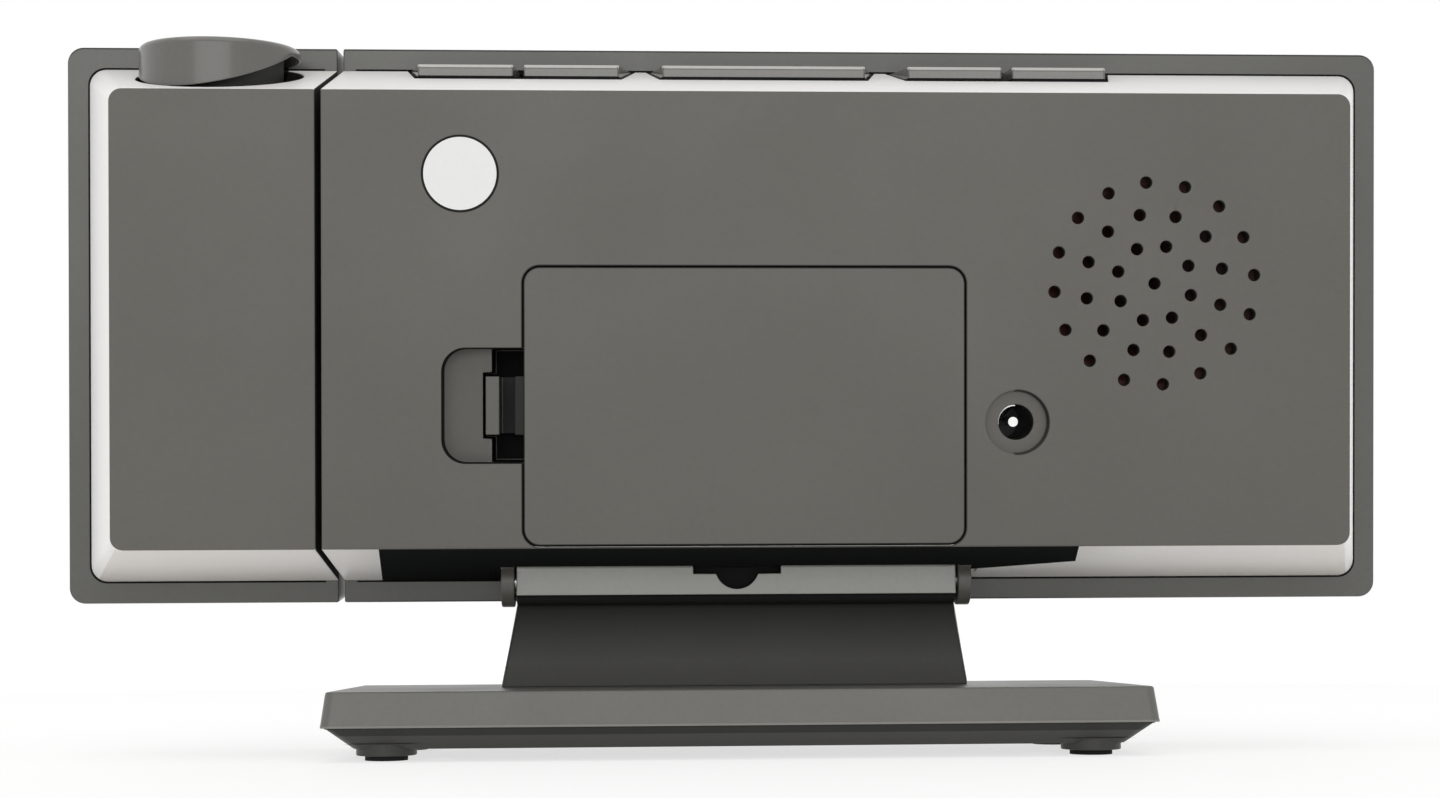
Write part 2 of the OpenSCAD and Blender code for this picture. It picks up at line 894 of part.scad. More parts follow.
module board_screws() {
    in_case()
        color(steel)
            at_board_screws()
                translate([0, board_q, 0])
                    rotate([-90, 0, 0])
                        screw(board_screw_l);
}

module key_board() {
    in_case()
        color(board_green)
            difference() {
                box([key_board_x[0], board_q, board_top],
                    [key_board_x[1], key_board_back_q, key_board_top]);
                for (x = key_boss_x)
                    translate([x, key_boss_q, board_top - 1])
                        cylinder(h = board_t + 2, r = screw_r + screw_play);
            }
}

module key_board_screws() {
    in_case()
        color(steel)
            for (x = key_boss_x)
                translate([x, key_boss_q, board_top])
                    screw(board_t + key_screw_l);
}

// Middle of a key across
function key_mid(key) = (key[0] + key[1]) / 2;

module key_switches() {
    in_case()
        color(dark_grey)
            for (key = keys)
                translate([key_mid(key), switch_q, key_board_top]) {
                    translate([-switch_side / 2, -switch_side / 2, 0])
                        cube([switch_side, switch_side, switch_h]);
                    cylinder(h = plunger_top - key_board_top, r = plunger_r);
                }
}

// Plan of a key, or of its slot when grown by a gap
module key_plan(key, grow) {
    polygon([
        [key[0] + grow, key_front_q - grow],
        [key[0] - key[2] + grow, key_d + grow],
        [key[1] + key[3] - grow, key_d + grow],
        [key[1] - grow, key_front_q - grow]
    ]);
}

// One key: a block with a chamfered rear edge, and a flange that stays under the slot
module key_cap(key) {
    in_case()
        color(shell_grey)
            difference() {
                union() {
                    translate([0, 0, key_bottom])
                        linear_extrude(key_top - key_bottom)
                            key_plan(key, 0);
                    box([key[1] + key_flange / 4, key_front_q + key_flange, key_bottom],
                        [key[0] - key_flange / 4, key_d + key_flange, key_bottom + key_flange_t]);
                }
                translate([key_mid(key), key_d, key_top])
                    rotate([45, 0, 0])
                        cube([case_w, key_edge * sqrt(2), key_edge * sqrt(2)], center = true);
            }
}

module mode_button() key_cap(mode_key);
module alarm_button() key_cap(alarm_key);
module snooze_button() key_cap(snooze_key);
module up_button() key_cap(up_key);
module down_button() key_cap(down_key);

// Slots for the keys through the top bevel
module key_slots() {
    for (pair = [[mode_key[0], alarm_key[1]], [snooze_key[0], snooze_key[1]], [up_key[0], down_key[1]]])
        translate([0, 0, key_bottom + key_flange_t])
            linear_extrude(half_h)
                key_plan([pair[0], pair[1], key_outer_cut, key_outer_cut], key_gap);
}

// Holes of the speaker grille: rings of evenly spaced holes round one in the middle
module grille_holes() {
    for (ring = grille_rings, i = [0 : ring[1] - 1])
        translate([grille_x, 0, grille_w])
            rotate([0, grille_start + i * 360 / ring[1], 0])
                translate([-ring[0], 0, 0])
                    bar_q(panel_inner_q - 1, rear_t + 1, grille_hole_r);
}

// Solid walls round the battery bay and round the latch
module bay_walls() {
    box([bay_block_x[0], bay_q - bay_wall, bay_block_w[0]],
        [bay_block_x[1], rear_t + 1, bay_block_w[1]]);
    box([bay_block_x[1] - 1, latch_bottom_q - latch_wall, latch_w[0] - latch_wall],
        [latch_x[1] + latch_wall, rear_t + 1, latch_w[1] + latch_wall]);
}

// Room for the cells, the door, the door's tabs and its latch
module bay_room() {
    box([bay_x[0], bay_q, bay_w[0]], [bay_x[1], rear_t, bay_w[1]]);
    along_q(door_seat_q, rear_t + 1)
        rounded(door_left - door_gap, door_right + door_gap, door_bottom - door_gap,
            door_top + door_gap, door_r + door_gap);
    for (w = door_tab_w)
        intersection() {
            translate([door_axis_x, rear_t, w - door_tab_l / 2 - door_rib_play])
                cylinder(h = door_tab_l + 2 * door_rib_play, r = door_tab_swing);
            box([door_axis_x - 2 * door_tab_swing, bay_q, w - door_tab_l],
                [door_axis_x + 2 * door_tab_swing, door_seat_q + eps, w + door_tab_l]);
        }
    latch_room();
}

// Finger scoop beside the door, and the pit for the door's spring latch
module latch_room() {
    middle = (latch_w[0] + latch_w[1]) / 2;
    intersection() {
        along_q(bay_q, rear_t + 1)
            union() {
                rounded(door_right, latch_x[1], latch_w[0], latch_w[1], latch_r);
                translate([door_right - slip, latch_w[0]])
                    square([latch_x[0] - door_right, latch_w[1] - latch_w[0]]);
            }
        union() {
            translate([latch_x[1] - latch_scoop_in, latch_floor_q + latch_scoop_r, middle - case_h])
                cylinder(h = 2 * case_h, r = latch_scoop_r);
            box([door_right - 1, latch_bottom_q, latch_w[0] - 1], [latch_x[0], rear_t + 1, latch_w[1] + 1]);
        }
    }
    box([door_right - 1, latch_bottom_q, finger_w[0] - finger_slot],
        [finger_slot_x, rear_t + 1, finger_w[1] + finger_slot]);
}

// Lining of the trough for the stand's hinge barrel
module hinge_seat() {
    translate([0, hinge_q, hinge_w])
        bar_x(ear_in_left - ear_t, ear_in_right + ear_t, trough_r + trough_wall);
}

// Ears that hold the hinge pins, one at each end of the trough
module hinge_ears() {
    for (x = [ear_in_left - ear_t, ear_in_right])
        translate([0, hinge_q, hinge_w])
            bar_x(x, x + ear_t, ear_r);
}

// Room in which the hinge barrel turns
module hinge_room() {
    translate([0, hinge_q, hinge_w])
        bar_x(ear_in_left, ear_in_right, trough_r);
}

// Tongue with a round end that hangs in the barrel's notch
module hinge_tongue() {
    translate([stand_x, hinge_q + barrel_flat - tongue_t, hinge_w + face_half]) {
        bar_q(0, tongue_t, tongue_r);
        translate([-tongue_r, 0, 0])
            cube([2 * tongue_r, tongue_t, tongue_rise]);
    }
}

// Screw bosses inside the rear housing
module housing_bosses() {
    at_board_screws()
        bar_q(board_back_q, rear_t, boss_r);
    for (x = key_boss_x)
        translate([x, key_boss_q, key_board_top])
            cylinder(h = half_h, r = key_boss_r);
}

module housing_boss_holes() {
    at_board_screws()
        bar_q(board_back_q - 1, board_back_q + boss_depth, screw_r + screw_play);
    for (x = key_boss_x)
        translate([x, key_boss_q, key_board_top - 1])
            cylinder(h = 1 + key_screw_hole, r = screw_r + screw_play);
}

module rear_housing() {
    in_case()
        color(shell_grey)
            difference() {
                union() {
                    intersection() {
                        shell_outside(false);
                        union() {
                            difference() {
                                box([-case_w, -frame_t, -case_h], [case_w, rear_t + 1, case_h]);
                                shell_inside(false);
                            }
                            bay_walls();
                            hinge_seat();
                            housing_bosses();
                            translate([grille_x, 0, grille_w])
                                difference() {
                                    bar_q(panel_inner_q - speaker_lip, rear_t,
                                        speaker_r + slip + speaker_rib);
                                    bar_q(0, panel_inner_q, speaker_r + slip);
                                }
                        }
                    }
                    hinge_ears();
                    snaps(case_snaps, 0);
                }
                difference() {
                    hinge_room();
                    hinge_tongue();
                }
                key_slots();
                bay_room();
                grille_holes();
                housing_boss_holes();
                translate([jack_x, 0, jack_w]) {
                    bar_q(rear_t - jack_recess_t, rear_t + 1, jack_recess_r);
                    bar_q(panel_inner_q - 1, rear_t + 1, jack_hole_r);
                }
                translate([seam_left - seam_wall - 1, shaft_q, 0])
                    bar_x(0, seam_wall + 2, shaft_r + hub_play);
                translate([0, hinge_q, hinge_w])
                    bar_x(ear_in_left - pin_hole_extra, ear_in_right + pin_hole_extra, pin_r);
            }
}

module hinge_pins() {
    in_case()
        color(steel)
            translate([0, hinge_q, hinge_w]) {
                bar_x(ear_in_left - ear_t, barrel_left + pin_depth - pin_end_play, pin_r);
                bar_x(barrel_right - pin_depth + pin_end_play, ear_in_right + ear_t, pin_r);
            }
}

// Middle of a row of cells
function row_w(row) = (bay_w[0] + bay_w[1]) / 2 + row * cell_pitch;

module battery_contacts() {
    in_case()
        color(steel)
            for (row = cell_rows, x = [bay_x[0], bay_x[1] - contact_t])
                translate([x, bay_q + contact_gap, row_w(row) - contact_side / 2])
                    cube([contact_t, contact_side, contact_side]);
}

// Radius of a cell spring at the start of a turn
function spring_turn_r(i) = spring_big - i * (spring_big - spring_small) / spring_turns;

// Conical spring, each turn a ring that touches the next
module cell_spring() {
    for (i = [0 : spring_turns - 1])
        translate([0, 0, spring_wire + i * spring_pitch])
            rotate_extrude()
                polygon([
                    [spring_turn_r(i) - spring_band, -spring_wire],
                    [spring_turn_r(i), -spring_wire],
                    [spring_turn_r(i + 1), spring_pitch - spring_wire],
                    [spring_turn_r(i + 1) - spring_band, spring_pitch - spring_wire]
                ]);
}

module battery_springs() {
    in_case()
        color(steel)
            for (row = cell_rows)
                translate([bay_x[0] + contact_t, bay_q + contact_gap + contact_side / 2, row_w(row)])
                    rotate([0, 90, 0])
                        cell_spring();
}

module speaker_basket() {
    in_case()
        color(dark_grey)
            translate([grille_x, 0, grille_w])
                difference() {
                    union() {
                        bar_q(panel_inner_q - speaker_lip, panel_inner_q, speaker_r);
                        translate([0, panel_inner_q - speaker_lip - cone_depth - basket_skin, 0])
                            rotate([-90, 0, 0])
                                cylinder(h = cone_depth + basket_skin + eps, r1 = magnet_r + basket_skin,
                                    r2 = speaker_r - basket_edge);
                        bar_q(speaker_q, speaker_q + magnet_t, magnet_r);
                    }
                    translate([0, panel_inner_q - speaker_lip - cone_depth, 0])
                        rotate([-90, 0, 0])
                            cylinder(h = cone_depth, r1 = cone_small, r2 = cone_r);
                    bar_q(panel_inner_q - speaker_lip - eps, panel_inner_q + 1, cone_r);
                }
}

module speaker_cone() {
    in_case()
        color(cone_red)
            translate([grille_x, panel_inner_q - speaker_lip - cone_depth, grille_w])
                rotate([-90, 0, 0])
                    rotate_extrude()
                        polygon([[0, 0], [cone_small, 0], [cone_r, cone_depth],
                            [cone_r - cone_edge, cone_depth], [cone_small, cone_t], [0, cone_t]]);
}

module power_inlet() {
    in_case()
        color(black)
            translate([jack_x, 0, jack_w])
                difference() {
                    box([-jack_side / 2, board_back_q, -jack_side / 2],
                        [jack_side / 2, panel_inner_q, jack_side / 2]);
                    bar_q(jack_bore_q, panel_inner_q + 1, jack_hole_r);
                }
}

module inlet_pin() {
    in_case()
        color(steel)
            translate([jack_x, 0, jack_w])
                bar_q(jack_bore_q, jack_pin_top, jack_pin_r);
}

module inspection_sticker() {
    in_case()
        color(paper_white)
            translate([sticker_x, 0, sticker_w])
                bar_q(rear_t, rear_t + sticker_t, sticker_r);
}

// ---------- battery door ----------

module battery_door() {
    in_case()
        color(shell_grey) {
            along_q(rear_t - door_t, rear_t)
                rounded(door_left, door_right, door_bottom, door_top, door_r);
            // stiffening rib that drops into the bay
            difference() {
                box([bay_x[0] + door_rib_play, rear_t - door_t - door_rib_d, bay_w[0] + door_rib_play],
                    [bay_x[1] - door_rib_play, rear_t - door_t + eps, bay_w[1] - door_rib_play]);
                box([bay_x[0] + door_rib_play + door_rib, 0, bay_w[0] + door_rib_play + door_rib],
                    [bay_x[1] - door_rib_play - door_rib, rear_t - door_t,
                        bay_w[1] - door_rib_play - door_rib]);
            }
            // hooks under the housing's edge
            for (w = door_tab_w) {
                box([door_left - door_tab_reach, door_seat_q - slip - door_tab_t, w - door_tab_l / 2],
                    [door_left + door_tab_root, door_seat_q - slip, w + door_tab_l / 2]);
                box([door_left, door_seat_q - slip - door_tab_t, w - door_tab_l / 2],
                    [door_left + door_tab_root / 2, rear_t - door_t + eps, w + door_tab_l / 2]);
            }
            latch_finger();
        }
}

// Spring latch bent like a U, with a lip for the fingertip
module latch_finger() {
    box([door_right - 1, rear_t - door_t, finger_w[0]],
        [finger_x[0] + finger_t, finger_arm_q, finger_w[1]]);
    box([finger_x[0], finger_bottom_q, finger_w[0]],
        [finger_x[0] + finger_t, finger_arm_q, finger_w[1]]);
    box([finger_x[0], finger_bottom_q, finger_w[0]], [finger_x[1], finger_bottom_q + finger_t, finger_w[1]]);
    box([finger_x[1] - finger_t, finger_bottom_q, finger_w[0]], [finger_x[1], finger_top_q, finger_w[1]]);
    box([finger_x[1] - finger_t, finger_top_q - finger_t, finger_w[0]],
        [finger_x[1] + finger_lip, finger_top_q, finger_w[1]]);
}

// ---------- projector case ----------

// The well for the focus knob, sunk into the top bevel and the frame behind it
module well() {
    translate([focus_x, focus_q, well_floor])
        cylinder(h = half_h, r = well_r);
}

module projector_frame() {
    in_case()
        color(shell_grey)
            difference() {
                frame_ring(true);
                for (x = projector_snaps)
                    translate([x, snap_q, -half_h + rim_inset])
                        cube([snap_l + 2 * snap_play, snap_t + 2 * snap_play,
                            2 * (snap_h + snap_play)], center = true);
                well();
            }
}

module projector_window() {
    in_case()
        color(black)
            along_q(-frame_t, frame_inner_q)
                outline(true, window_lip + slip, window_lip + slip, window_lip + slip,
                    1 + slip, corner_r / 2);
}

module projector_housing() {
    in_case()
        color(shell_grey)
            difference() {
                union() {
                    intersection() {
                        shell_outside(true);
                        union() {
                            difference() {
                                box([-case_w, -frame_t, -case_h], [case_w, rear_t + 1, case_h]);
                                shell_inside(true);
                            }
                            translate([focus_x, focus_q, well_floor - well_wall])
                                cylinder(h = half_h, r = well_r + well_wall);
                            for (x = optics_screw_x)
                                translate([x, 0, optics_screw_w])
                                    bar_q(lug_q + lug_t, rear_t, optics_boss_r);
                        }
                    }
                    for (x = projector_snaps)
                        translate([x, snap_q, -half_h + rim_inset])
                            cube([snap_l, snap_t, 2 * snap_h], center = true);
                }
                well();
                translate([focus_x, focus_q, well_floor - well_wall - 1])
                    cylinder(h = well_wall + 2, r = hub_r + hub_play);
                translate([seam_right - 1, shaft_q, 0])
                    bar_x(0, seam_wall + 2, shaft_r);
                for (x = optics_screw_x)
                    translate([x, 0, optics_screw_w])
                        bar_q(lug_q, lug_q + lug_t + optics_screw_hole, screw_r + screw_play);
            }
}

module swivel_shaft() {
    in_case()
        color(dark_grey)
            translate([0, shaft_q, 0])
                difference() {
                    union() {
                        bar_x(shaft_end, seam_right + seam_wall, shaft_r);
                        bar_x(seam_right + seam_wall, seam_right + seam_wall + shaft_flange_t,
                            shaft_flange_r);
                    }
                    bar_x(shaft_end - 1, half_w, shaft_bore_r);
                    difference() {
                        bar_x(washer_x - clip_t, washer_x, shaft_r + 1);
                        bar_x(washer_x - clip_t - 1, washer_x + 1, shaft_r - shaft_groove);
                    }
                }
}

module shaft_washer() {
    in_case()
        color(steel)
            translate([0, shaft_q, 0])
                difference() {
                    bar_x(washer_x, washer_x + washer_t, washer_r);
                    bar_x(washer_x - 1, washer_x + washer_t + 1, shaft_r + screw_play);
                }
}

module shaft_clip() {
    in_case()
        color(steel)
            translate([0, shaft_q, 0])
                difference() {
                    bar_x(washer_x - clip_t, washer_x, clip_r);
                    bar_x(washer_x - clip_t - 1, washer_x + 1, shaft_r - shaft_groove + screw_play);
                    box([washer_x - clip_t - 1, -clip_slot, -case_h], [washer_x + 1, clip_slot, 0]);
                }
}

module optics_tube() {
    in_case()
        color(black)
            difference() {
                union() {
                    translate([focus_x, focus_q, tube_bottom])
                        cylinder(h = tube_top - tube_bottom, r = tube_r);
                    box([focus_x - lug_half_w, lug_q, lug_w[0]],
                        [focus_x + lug_half_w, lug_q + lug_t, lug_w[1]]);
                }
                translate([focus_x, focus_q, tube_step])
                    cylinder(h = tube_top, r = tube_bore_r);
                translate([focus_x, focus_q, slide_ledge])
                    cylinder(h = tube_top, r = slide_bore_r);
                translate([focus_x, focus_q, tube_bottom - 1])
                    cylinder(h = tube_top, r = lamp_bore_r);
                for (x = optics_screw_x)
                    translate([x, 0, optics_screw_w])
                        bar_q(lug_q - 1, lug_q + lug_t + 1, screw_r + screw_play);
            }
}

module optics_screws() {
    in_case()
        color(steel)
            for (x = optics_screw_x)
                translate([x, lug_q, optics_screw_w])
                    rotate([-90, 0, 0])
                        screw(lug_t + optics_screw_l, optics_head_r, optics_head_t);
}

module lamp_board() {
    in_case()
        color(board_green)
            box([lamp_board_x[0], lamp_board_q[0], tube_bottom - board_t],
                [lamp_board_x[1], lamp_board_q[1], tube_bottom]);
}

module projector_lamp() {
    in_case()
        color(clear)
            translate([focus_x, focus_q, tube_bottom]) {
                cylinder(h = lamp_h - lamp_r, r = lamp_r);
                translate([0, 0, lamp_h - lamp_r])
                    sphere(lamp_r);
            }
}

module condenser_lens() {
    in_case()
        color(clear)
            translate([focus_x, focus_q, slide_ledge])
                cylinder(h = condenser_t, r = slide_bore_r - screw_play);
}

module slide_display() {
    in_case()
        color(slide_grey)
            translate([focus_x - slide_side / 2, focus_q - slide_side / 2, slide_ledge + condenser_t])
                cube([slide_side, slide_side, slide_t]);
}

// ---------- focus ----------

module focus_knob() {
    in_case()
        color(shell_grey)
            translate([focus_x, focus_q, 0])
                difference() {
                    union() {
                        difference() {
                            translate([0, 0, well_floor + knob_lip_gap])
                                cylinder(h = knob_top - well_floor - knob_lip_gap, r = knob_r);
                            difference() {
                                translate([0, 0, knob_top - knob_cut_drop])
                                    rotate([0, 0, knob_fall])
                                        rotate([0, knob_slope, 0])
                                            translate([-case_w / 2, -case_w / 2, -case_h])
                                                cube([case_w, case_w, case_h]);
                                translate([0, 0, knob_top - knob_plate])
                                    cylinder(h = case_h, r = case_h);
                            }
                        }
                        translate([0, 0, tube_top + knob_lip_gap])
                            cylinder(h = knob_top - knob_cap - tube_top - knob_lip_gap, r = hub_r);
                        translate([0, 0, tube_top + knob_lip_gap])
                            cylinder(h = knob_lip_t, r = knob_lip_r);
                    }
                    cylinder(h = knob_top - knob_cap, r = hub_bore_r);
                    cylinder(h = case_h, r = knob_eye_r);
                    // rounded top edge
                    difference() {
                        translate([0, 0, knob_top - knob_edge])
                            cylinder(h = knob_edge + 1, r = knob_r + 1);
                        translate([0, 0, knob_top - knob_edge])
                            cylinder(h = knob_edge, r = knob_r - knob_edge);
                        translate([0, 0, knob_top - knob_edge])
                            rotate_extrude()
                                translate([knob_r - knob_edge, 0])
                                    circle(knob_edge);
                    }
                }
}

module lens_barrel() {
    in_case()
        color(black)
            translate([focus_x, focus_q, barrel_tube_bottom])
                difference() {
                    cylinder(h = barrel_tube_top - barrel_tube_bottom, r = barrel_tube_r);
                    translate([0, 0, -1])
                        cylinder(h = barrel_tube_top, r = barrel_tube_bore - barrel_lip);
                    translate([0, 0, lens_seat - barrel_tube_bottom])
                        cylinder(h = barrel_tube_top, r = barrel_tube_bore);
                }
}

module projection_lens() {
    dome_r = (barrel_tube_bore * barrel_tube_bore + lens_rise * lens_rise) / (2 * lens_rise);
    in_case()
        color(clear)
            translate([focus_x, focus_q, lens_seat])
                union() {
                    cylinder(h = lens_rim_t, r = barrel_tube_bore - screw_play);
                    translate([0, 0, lens_rim_t])
                        intersection() {
                            cylinder(h = lens_rise, r = barrel_tube_bore - screw_play);
                            translate([0, 0, lens_rise - dome_r])
                                sphere(dome_r);
                        }
                }
}

stand_base();
base_bottom_cover();
base_weight();
rubber_feet();
base_screws();
neck_screws();
stand_neck();
front_frame();
display_window();
display_light_box();
display_digits();
main_board();
board_screws();
key_board();
key_board_screws();
key_switches();
rear_housing();
hinge_pins();
battery_contacts();
battery_springs();
speaker_basket();
speaker_cone();
power_inlet();
inlet_pin();
inspection_sticker();
mode_button();
alarm_button();
snooze_button();
up_button();
down_button();
battery_door();
projector_frame();
projector_window();
projector_housing();
swivel_shaft();
shaft_washer();
shaft_clip();
optics_tube();
optics_screws();
lamp_board();
projector_lamp();
condenser_lens();
slide_display();
focus_knob();
lens_barrel();
projection_lens();
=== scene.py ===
import json
import math
import bmesh
import bpy
from mathutils import Matrix, Vector


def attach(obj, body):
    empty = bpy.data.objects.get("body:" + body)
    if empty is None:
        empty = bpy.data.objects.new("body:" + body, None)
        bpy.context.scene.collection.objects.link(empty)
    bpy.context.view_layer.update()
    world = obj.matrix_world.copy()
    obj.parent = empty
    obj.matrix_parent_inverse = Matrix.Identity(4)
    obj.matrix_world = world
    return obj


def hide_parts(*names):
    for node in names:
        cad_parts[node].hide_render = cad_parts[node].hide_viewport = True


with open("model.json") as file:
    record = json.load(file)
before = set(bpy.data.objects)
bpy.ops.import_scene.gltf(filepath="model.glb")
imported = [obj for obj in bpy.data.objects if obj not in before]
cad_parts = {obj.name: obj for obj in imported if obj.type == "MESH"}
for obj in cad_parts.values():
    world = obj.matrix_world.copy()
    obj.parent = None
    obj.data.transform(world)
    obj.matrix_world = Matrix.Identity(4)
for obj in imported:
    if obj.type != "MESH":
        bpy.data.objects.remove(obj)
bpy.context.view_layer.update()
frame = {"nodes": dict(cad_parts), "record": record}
NODES = frame["nodes"]
SLOT_OF = {row["node"]: row["material_slot"] for row in frame["record"]["subparts"]}
MM = 0.001

# ---------------------------------------------------------------- sizes of the part, in millimetres
# The cases have a frame of their own: x across, q from the plane of the frame's rear border
# towards the back, w up from mid height. A place in it is a Vector (x, q, w).
LEAN = math.radians(7.2)
HALF_W = 92.5
HALF_H = 38.85
REAR_T = 20.5
BORDER = 3.1
BEVEL_SIDE = 7.8
BEVEL_TOP = 5.5
BEVEL_BOTTOM = 6.0
SEAM_X = 54.7
CORNER = 4.0
KNOB_X = 69.7
KNOB_Q = 8.0
KNOB_R = 10.7
KNOB_BORE_W = 36.0
JACK = (-37.0, -13.3)
JACK_RECESS_R = 4.2
DOOR_EDGE_X = (-30.6, 28.4)
DOOR_EDGE_W = (-29.9, 7.6)
DOOR_PLATE_X = 28.1
LATCH_X = (28.0, 38.6)
LATCH_W = (-18.45, -3.55)
LATCH_Q = 8.0
ARM_X = (28.05, 31.05)
STAND_X = -0.5
EARS = ((-32.8, -30.6), (29.6, 31.8))
EAR_TOP_W = -31.0
TONGUE_HALF_W = 2.6
TONGUE_TOP_W = -31.5
TONGUE_Q = 4.0
NOTCH_HALF_W = 6.6
BARREL_R = 2.6
BARREL_FLAT = 2.2
BARREL_LOW = -2.1
HINGE_Q = 6.0
HINGE_W = 3.3 - HALF_H
HINGE_Y = 2.1 - 2.616295
HINGE_Z = 23.4
BASE_HIGHLIGHT_Z = 4.75
COVER_SPLIT_Z = 3.35
KEY_TOP_W = 35.6
KEY_SHADE_W = 33.98

# Painted dark reflection of the stand in the middle of the bottom bevel: its two leaning ends, and
# the slanted start of its right end
BAND_RIGHT_X = -48.7
BAND_RIGHT_LEAN = 0.17
BAND_LEFT_X = 49.0
BAND_LEFT_LEAN = 0.102
BAND_TURN_X = -27.5
BAND_LOW_Q = 3.7
BAND_FALL = 0.376
BEVEL_LOW_W = -29.0

RIGHT = Vector((1.0, 0.0, 0.0))
BACK = Vector((0.0, math.cos(LEAN), -math.sin(LEAN)))
UP = Vector((0.0, math.sin(LEAN), math.cos(LEAN)))
DOWN = Vector((0.0, 0.0, -1.0))
ORIGIN = (Vector((0.0, HINGE_Y, HINGE_Z)) - BACK * HINGE_Q - UP * HINGE_W) * MM
CASE = Matrix((
    (1.0, BACK.x, UP.x, ORIGIN.x),
    (0.0, BACK.y, UP.y, ORIGIN.y),
    (0.0, BACK.z, UP.z, ORIGIN.z),
    (0.0, 0.0, 0.0, 1.0),
))
CASE_BACK = CASE.inverted()


def at(x, q, w):
    """A point of the leaning case, given in its own millimetres, in the row frame."""
    return CASE @ Vector((x * MM, q * MM, w * MM))


def in_case(point):
    """A point of the row frame as (x, q, w) of the case, in millimetres."""
    return CASE_BACK @ point / MM


def add_object(name, data):
    obj = bpy.data.objects.new(name, data)
    bpy.context.scene.collection.objects.link(obj)
    return obj


# ---------------------------------------------------------------- camera
LOOK = Vector((-0.04204283, -0.9921888, 0.11744694)).normalized()
SIDE = Vector((-0.99911471, 0.04157702, -0.00641444)).normalized()
RISE = SIDE.cross(LOOK)
EYE = (0.01336509, 0.27755810, 0.01592948)

cam_data = bpy.data.cameras.new("rear_camera")
cam_data.lens = 50.0
cam_data.sensor_width = 36.0
cam_data.clip_start = 0.01
cam_data.clip_end = 20.0
camera = add_object("rear_camera", cam_data)
camera.matrix_world = Matrix((
    (SIDE.x, RISE.x, -LOOK.x, EYE[0]),
    (SIDE.y, RISE.y, -LOOK.y, EYE[1]),
    (SIDE.z, RISE.z, -LOOK.z, EYE[2]),
    (0.0, 0.0, 0.0, 1.0),
))
bpy.context.scene.camera = camera
bpy.context.scene.view_settings.view_transform = "Standard"

# ---------------------------------------------------------------- materials
# Noise scales, in waves to the metre, and the depth of the spark-eroded grain in metres
CLOUD_SCALE = 28.0
GLOSS_SCALE = 45.0
SPECKLE_SCALE = 1400.0
GRAIN_SCALE = 5200.0
GRAIN_DEPTH = 0.00002
GLASS_SCALE = 60.0
BRUSH_SCALE = 300.0
SHEEN_ROUGH = 0.3


def shader(name, colour, rough, spec=0.5, metallic=0.0, coat=0.0, coat_rough=0.1, sheen=0.0):
    mat = bpy.data.materials.new(name)
    mat.use_nodes = True
    bsdf = mat.node_tree.nodes["Principled BSDF"]
    for socket, value in (
            ("Base Color", (*colour, 1.0)), ("Roughness", rough), ("Metallic", metallic),
            ("Specular IOR Level", spec), ("Coat Weight", coat), ("Coat Roughness", coat_rough),
            ("Sheen Weight", sheen), ("Sheen Roughness", SHEEN_ROUGH)):
        bsdf.inputs[socket].default_value = value
    return mat, mat.node_tree, bsdf


def noise(tree, coords, scale, detail=3.0):
    node = tree.nodes.new("ShaderNodeTexNoise")
    node.inputs["Scale"].default_value = scale
    node.inputs["Detail"].default_value = detail
    tree.links.new(coords.outputs["Object"], node.inputs["Vector"])
    return node.outputs["Fac"]


def mapped(tree, value, from_range, to_range):
    """A value carried from one range to another."""
    node = tree.nodes.new("ShaderNodeMapRange")
    node.inputs["From Min"].default_value, node.inputs["From Max"].default_value = from_range
    node.inputs["To Min"].default_value, node.inputs["To Max"].default_value = to_range
    tree.links.new(value, node.inputs["Value"])
    return node


def spread_of(tree, value, low, high):
    """A noise, most of which lies between 0.3 and 0.7, spread from low to high."""
    return mapped(tree, value, (0.3, 0.7), (low, high)).outputs["Result"]


def combine(tree, operation, a, b):
    """Two sockets, or a socket and a number, joined by a math node."""
    node = tree.nodes.new("ShaderNodeMath")
    node.operation = operation
    tree.links.new(a, node.inputs[0])
    if isinstance(b, float):
        node.inputs[1].default_value = b
    else:
        tree.links.new(b, node.inputs[1])
    return node.outputs["Value"]


def tint(tree, colour, factor):
    """A colour, or a socket that gives one, times a factor."""
    node = tree.nodes.new("ShaderNodeMix")
    node.data_type = "RGBA"
    node.blend_type = "MULTIPLY"
    node.inputs["Factor"].default_value = 1.0
    if isinstance(colour, tuple):
        node.inputs["A"].default_value = (*colour, 1.0)
    else:
        tree.links.new(colour, node.inputs["A"])
    tree.links.new(factor, node.inputs["B"])
    return node.outputs["Result"]


def moulded(name, colour, rough, spec=0.5, cloud=0.05, fine=0.03, bump=0.15, coat=0.0,
            coat_rough=0.1, sheen=0.0):
    """Moulded plastic: cloudy tone, a fine speckle, uneven gloss and a spark-eroded grain."""
    mat, tree, bsdf = shader(name, colour, rough, spec=spec, coat=coat, coat_rough=coat_rough,
                             sheen=sheen)
    coords = tree.nodes.new("ShaderNodeTexCoord")
    cloudy = spread_of(tree, noise(tree, coords, CLOUD_SCALE, 4.0), 1.0 - cloud, 1.0 + cloud)
    speckle = spread_of(tree, noise(tree, coords, SPECKLE_SCALE, 2.0), 1.0 - fine, 1.0 + fine)
    tone = combine(tree, "MULTIPLY", cloudy, speckle)
    tree.links.new(tint(tree, colour, tone), bsdf.inputs["Base Color"])
    gloss = spread_of(tree, noise(tree, coords, GLOSS_SCALE), rough * 0.88, rough * 1.14)
    tree.links.new(gloss, bsdf.inputs["Roughness"])
    if bump:
        node = tree.nodes.new("ShaderNodeBump")
        node.inputs["Strength"].default_value = bump
        node.inputs["Distance"].default_value = GRAIN_DEPTH
        tree.links.new(noise(tree, coords, GRAIN_SCALE, 2.0), node.inputs["Height"])
        tree.links.new(node.outputs["Normal"], bsdf.inputs["Normal"])
    return mat


